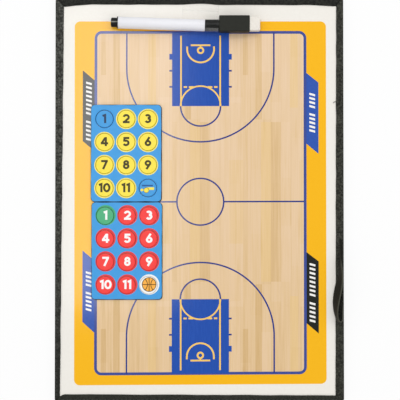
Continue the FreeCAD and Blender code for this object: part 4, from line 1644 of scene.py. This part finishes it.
# %% The strap and its sewn tab
TAB_CENTRE = np.array([106.9, -30.5])
TAB_SIZE = (4.2, 9.0, 0.6)
TAB_LEVELS = ((1.0, 0.0), (1.0, 0.6), (0.94, 0.78))
TAB_LINE = np.array([(105.3, -34.3), (108.5, -34.3), (108.5, -26.7), (105.3, -26.7)])
TAB_STITCHES = (2, 4, 2, 4)
SEWING_RISE = 0.8
SEWING_RADIUS = 0.16
GLARE_SPAN = (16.0, 82.0)
GLARE_FADE = 6.0
band, (band_along, band_across) = strap_rings()
# Where along the band the edges get their painted glare.
inside = band_along - GLARE_SPAN[0], GLARE_SPAN[1] - band_along
band_glare = np.prod([np.clip(distance / GLARE_FADE, 0, 1) for distance in inside], 0)
tab = rounded_outline(*TAB_SIZE, TAB_CENTRE)
tab_skin = loft(np.stack([
    raised((tab - TAB_CENTRE) * share + TAB_CENTRE, board_top + rise) for share, rise in TAB_LEVELS
]))
walk = walked(TAB_LINE, TAB_STITCHES)
ahead = unit(np.roll(walk, -1, 0) - walk)
sewing = copies(capsule(THREAD_PIECE, SEWING_RADIUS), raised(walk, board_top + SEWING_RISE), ahead)
plain = np.zeros(len(tab_skin[0]) + len(sewing[0]))
band_marks = {"along": band_along, "across": band_across, "painted_glare": band_glare}
strap = piece(
    "wrist_strap", [(loft(band), 0), (tab_skin, 2), (sewing, 1)],
    [strap_webbing, thread_black, tape_grained], "loop", ("wrist_loop",), crease=60,
    marks={name: np.concatenate([values.ravel(), plain]) for name, values in band_marks.items()},
)
print("strap faces:", len(strap.data.polygons))

# %% [markdown]
# What the eye seldom sees still needs its own stuff: grey board and steel inside the panel, the ink
# core, the nib and its holder inside the cap, and the leatherette on the back. Their shapes are
# right in the part, so each only gets a finish with the grain that its stuff has.

# %% Finishes of the inner pieces
def grained(name, constants, colour, shade, stretch, relief):
    """Fibres, brush marks or pores: noise stretched along the grain, in the colour and in a shallow bump."""
    finish = Finish(name, constants)
    grain = finish.noise(finish.millimetres(stretch), detail=4.0)
    finish.tint(grain, colour, shade)
    finish.bump(grain, strength=0.4, depth_mm=relief)
    return finish


core_stuff = {
    "core_board": ("greyboard", {"Roughness": 0.9}, (150, 144, 134), (118, 112, 104), (1.5, 1.5, 6.0), 0.1),
    "steel_sheet": ("steel", {"Roughness": 0.35, "Metallic": 1.0}, (176, 178, 180), (150, 152, 155),
                    (4.0, 0.05, 1.0), 0.01),
    "ink_reservoir": ("ink_core", {"Roughness": 0.95}, (40, 40, 46), (22, 22, 26), (0.3, 3.0, 3.0), 0.1),
    "marker_nib": ("nib_felt", {"Roughness": 0.9}, (34, 34, 38), (14, 14, 18), (0.6, 4.0, 4.0), 0.08),
}
for node, stuff in core_stuff.items():
    dress(node, grained(*stuff))
holder_white = moulded("holder_white", (228, 228, 228), (220, 220, 222),
                       roughness=0.35, speckle=2.0, relief=0.01)
dress("nib_holder", holder_white)
dress("back_cover", cover_leatherette)
print("CAD nodes shown:", sum(not node.hide_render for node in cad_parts.values()))

# %% [markdown]
# The stage is a plain pale floor. It takes the object's shadow, and part of its white is seen only
# by camera, glossy and see-through rays, so a clean background costs no extra light on the board.
# The room's pale walls give most of the light, from all sides, while its ceiling is dark, so that
# the glossy film mirrors nothing bright straight above it.

# %% Floor
FLOOR_HALF = 4.0
FLOOR_Z = -0.0002
GLOW_SHARE = 0.85


def background_rays(finish):
    """1 for rays that look at the background: from the camera, in a gloss or through something clear."""
    kinds = "Is Camera Ray", "Is Glossy Ray", "Is Transmission Ray"
    rays = sum(finish.node("ShaderNodeLightPath", None, None, kind) for kind in kinds)
    return rays.least(1.0)


floor_look = {"Base Color": screen(246, 246, 246), "Roughness": 0.9, "Specular IOR Level": 0.0}
floor_white = Finish("floor_white", floor_look)
glow = floor_white.node("ShaderNodeEmission", None, {"Color": (1, 1, 1, 1), "Strength": 1.0})
surface = Wire(floor_white, floor_white.shader.outputs[0])
shares = {0: background_rays(floor_white) * GLOW_SHARE, 1: surface, 2: glow}
mixed = floor_white.node("ShaderNodeMixShader", None, shares)
floor_white.plug(floor_white.tree.nodes["Material Output"].inputs, {"Surface": mixed})
floor_mesh = bpy.data.meshes.new("floor")
corners = raised(bar(-FLOOR_HALF, -FLOOR_HALF, FLOOR_HALF, FLOOR_HALF), FLOOR_Z)
floor_mesh.from_pydata(corners.tolist(), [], [(0, 1, 2, 3)])
floor_mesh.materials.append(floor_white.material)
floor = stand("floor", floor_mesh)
print("floor is", 2 * FLOOR_HALF, "m wide")

# %% The room's light
ROOM_STRENGTH = 1.01
AHEAD_GAIN = 0.02
ASIDE_GAIN = 0.1
WALLS = ((0.0, 0.45), (0.4, 0.7), (0.6, 1.0), (0.87, 1.0), (0.925, 0.1), (1.0, 0.08))


class Room(Finish):
    """The world round the board: the same wires, ending in its Background node."""

    def __init__(self, name):
        self.world = bpy.data.worlds.new(name)
        self.world.use_nodes = True
        self.tree = self.world.node_tree
        self.shader = self.tree.nodes["Background"]


def grey(value):
    return (value, value, value, 1.0)


room = Room("soft_room")
outward = room.node("ShaderNodeTexCoord", output="Generated")
aside, ahead, up = (room.axis(outward, name) for name in "XYZ")
stops = [(height, grey(value)) for height, value in WALLS]
wall = room.node("ShaderNodeValToRGB", {"stops": stops}, {0: up})
strength = wall * (ROOM_STRENGTH + ahead * AHEAD_GAIN + aside * ASIDE_GAIN)
room.feed({"Color": grey(1.0), "Strength": strength})
bpy.context.scene.world = room.world
print("room light stops:", len(stops))

# %% [markdown]
# Two large panels hang level over the board. The smaller one is almost overhead, to the upper left:
# its blurred mirror image in the film is the pale veil over the left of the court. The larger one
# hangs higher, beyond the board's top, and leaves the soft narrow shade below the marker.

# %% Soft panels of light
def soft_panel(name, place, size, radiance):
    """Rectangular lamp that hangs level and faces down; its power is radiance times pi times its area."""
    lamp = bpy.data.lights.new(name, "AREA")
    lamp.shape = "RECTANGLE"
    lamp.size, lamp.size_y = size
    lamp.energy = radiance * math.pi * size[0] * size[1]
    stand(name, lamp).location = place


soft_panel("veil_panel", place=(-0.132, 0.099, 1.0), size=(0.196, 0.492), radiance=4.0)
soft_panel("shade_panel", place=(0.1, 0.97, 2.0), size=(1.7, 0.75), radiance=2.9)
print("lamps:", len(bpy.data.lights))

# %% [markdown]
# The camera looks almost straight down from about a metre, leaning a touch so that the lower edge
# is nearer, as in the photo. Its focal length follows from the width of board that fills the frame.

# %% Camera
SENSOR_WIDTH = 36.0
VIEW_WIDTH = 305.6
VIEW_DISTANCE = 950.0
VIEW_LEAN = math.radians(1.15)
AIM = np.array([0.45, -0.7, film_top])
lens = bpy.data.cameras.new("camera")
lens.sensor_width = SENSOR_WIDTH
lens.lens = SENSOR_WIDTH * VIEW_DISTANCE / VIEW_WIDTH
camera = stand("camera", lens)
camera.location = (AIM + VIEW_DISTANCE * np.array([0, -math.sin(VIEW_LEAN), math.cos(VIEW_LEAN)])) * MM
camera.rotation_euler = (VIEW_LEAN, 0, 0)
bpy.context.scene.camera = camera
bpy.context.scene.view_settings.view_transform = "Standard"
print("focal length", round(lens.lens, 1), "mm")
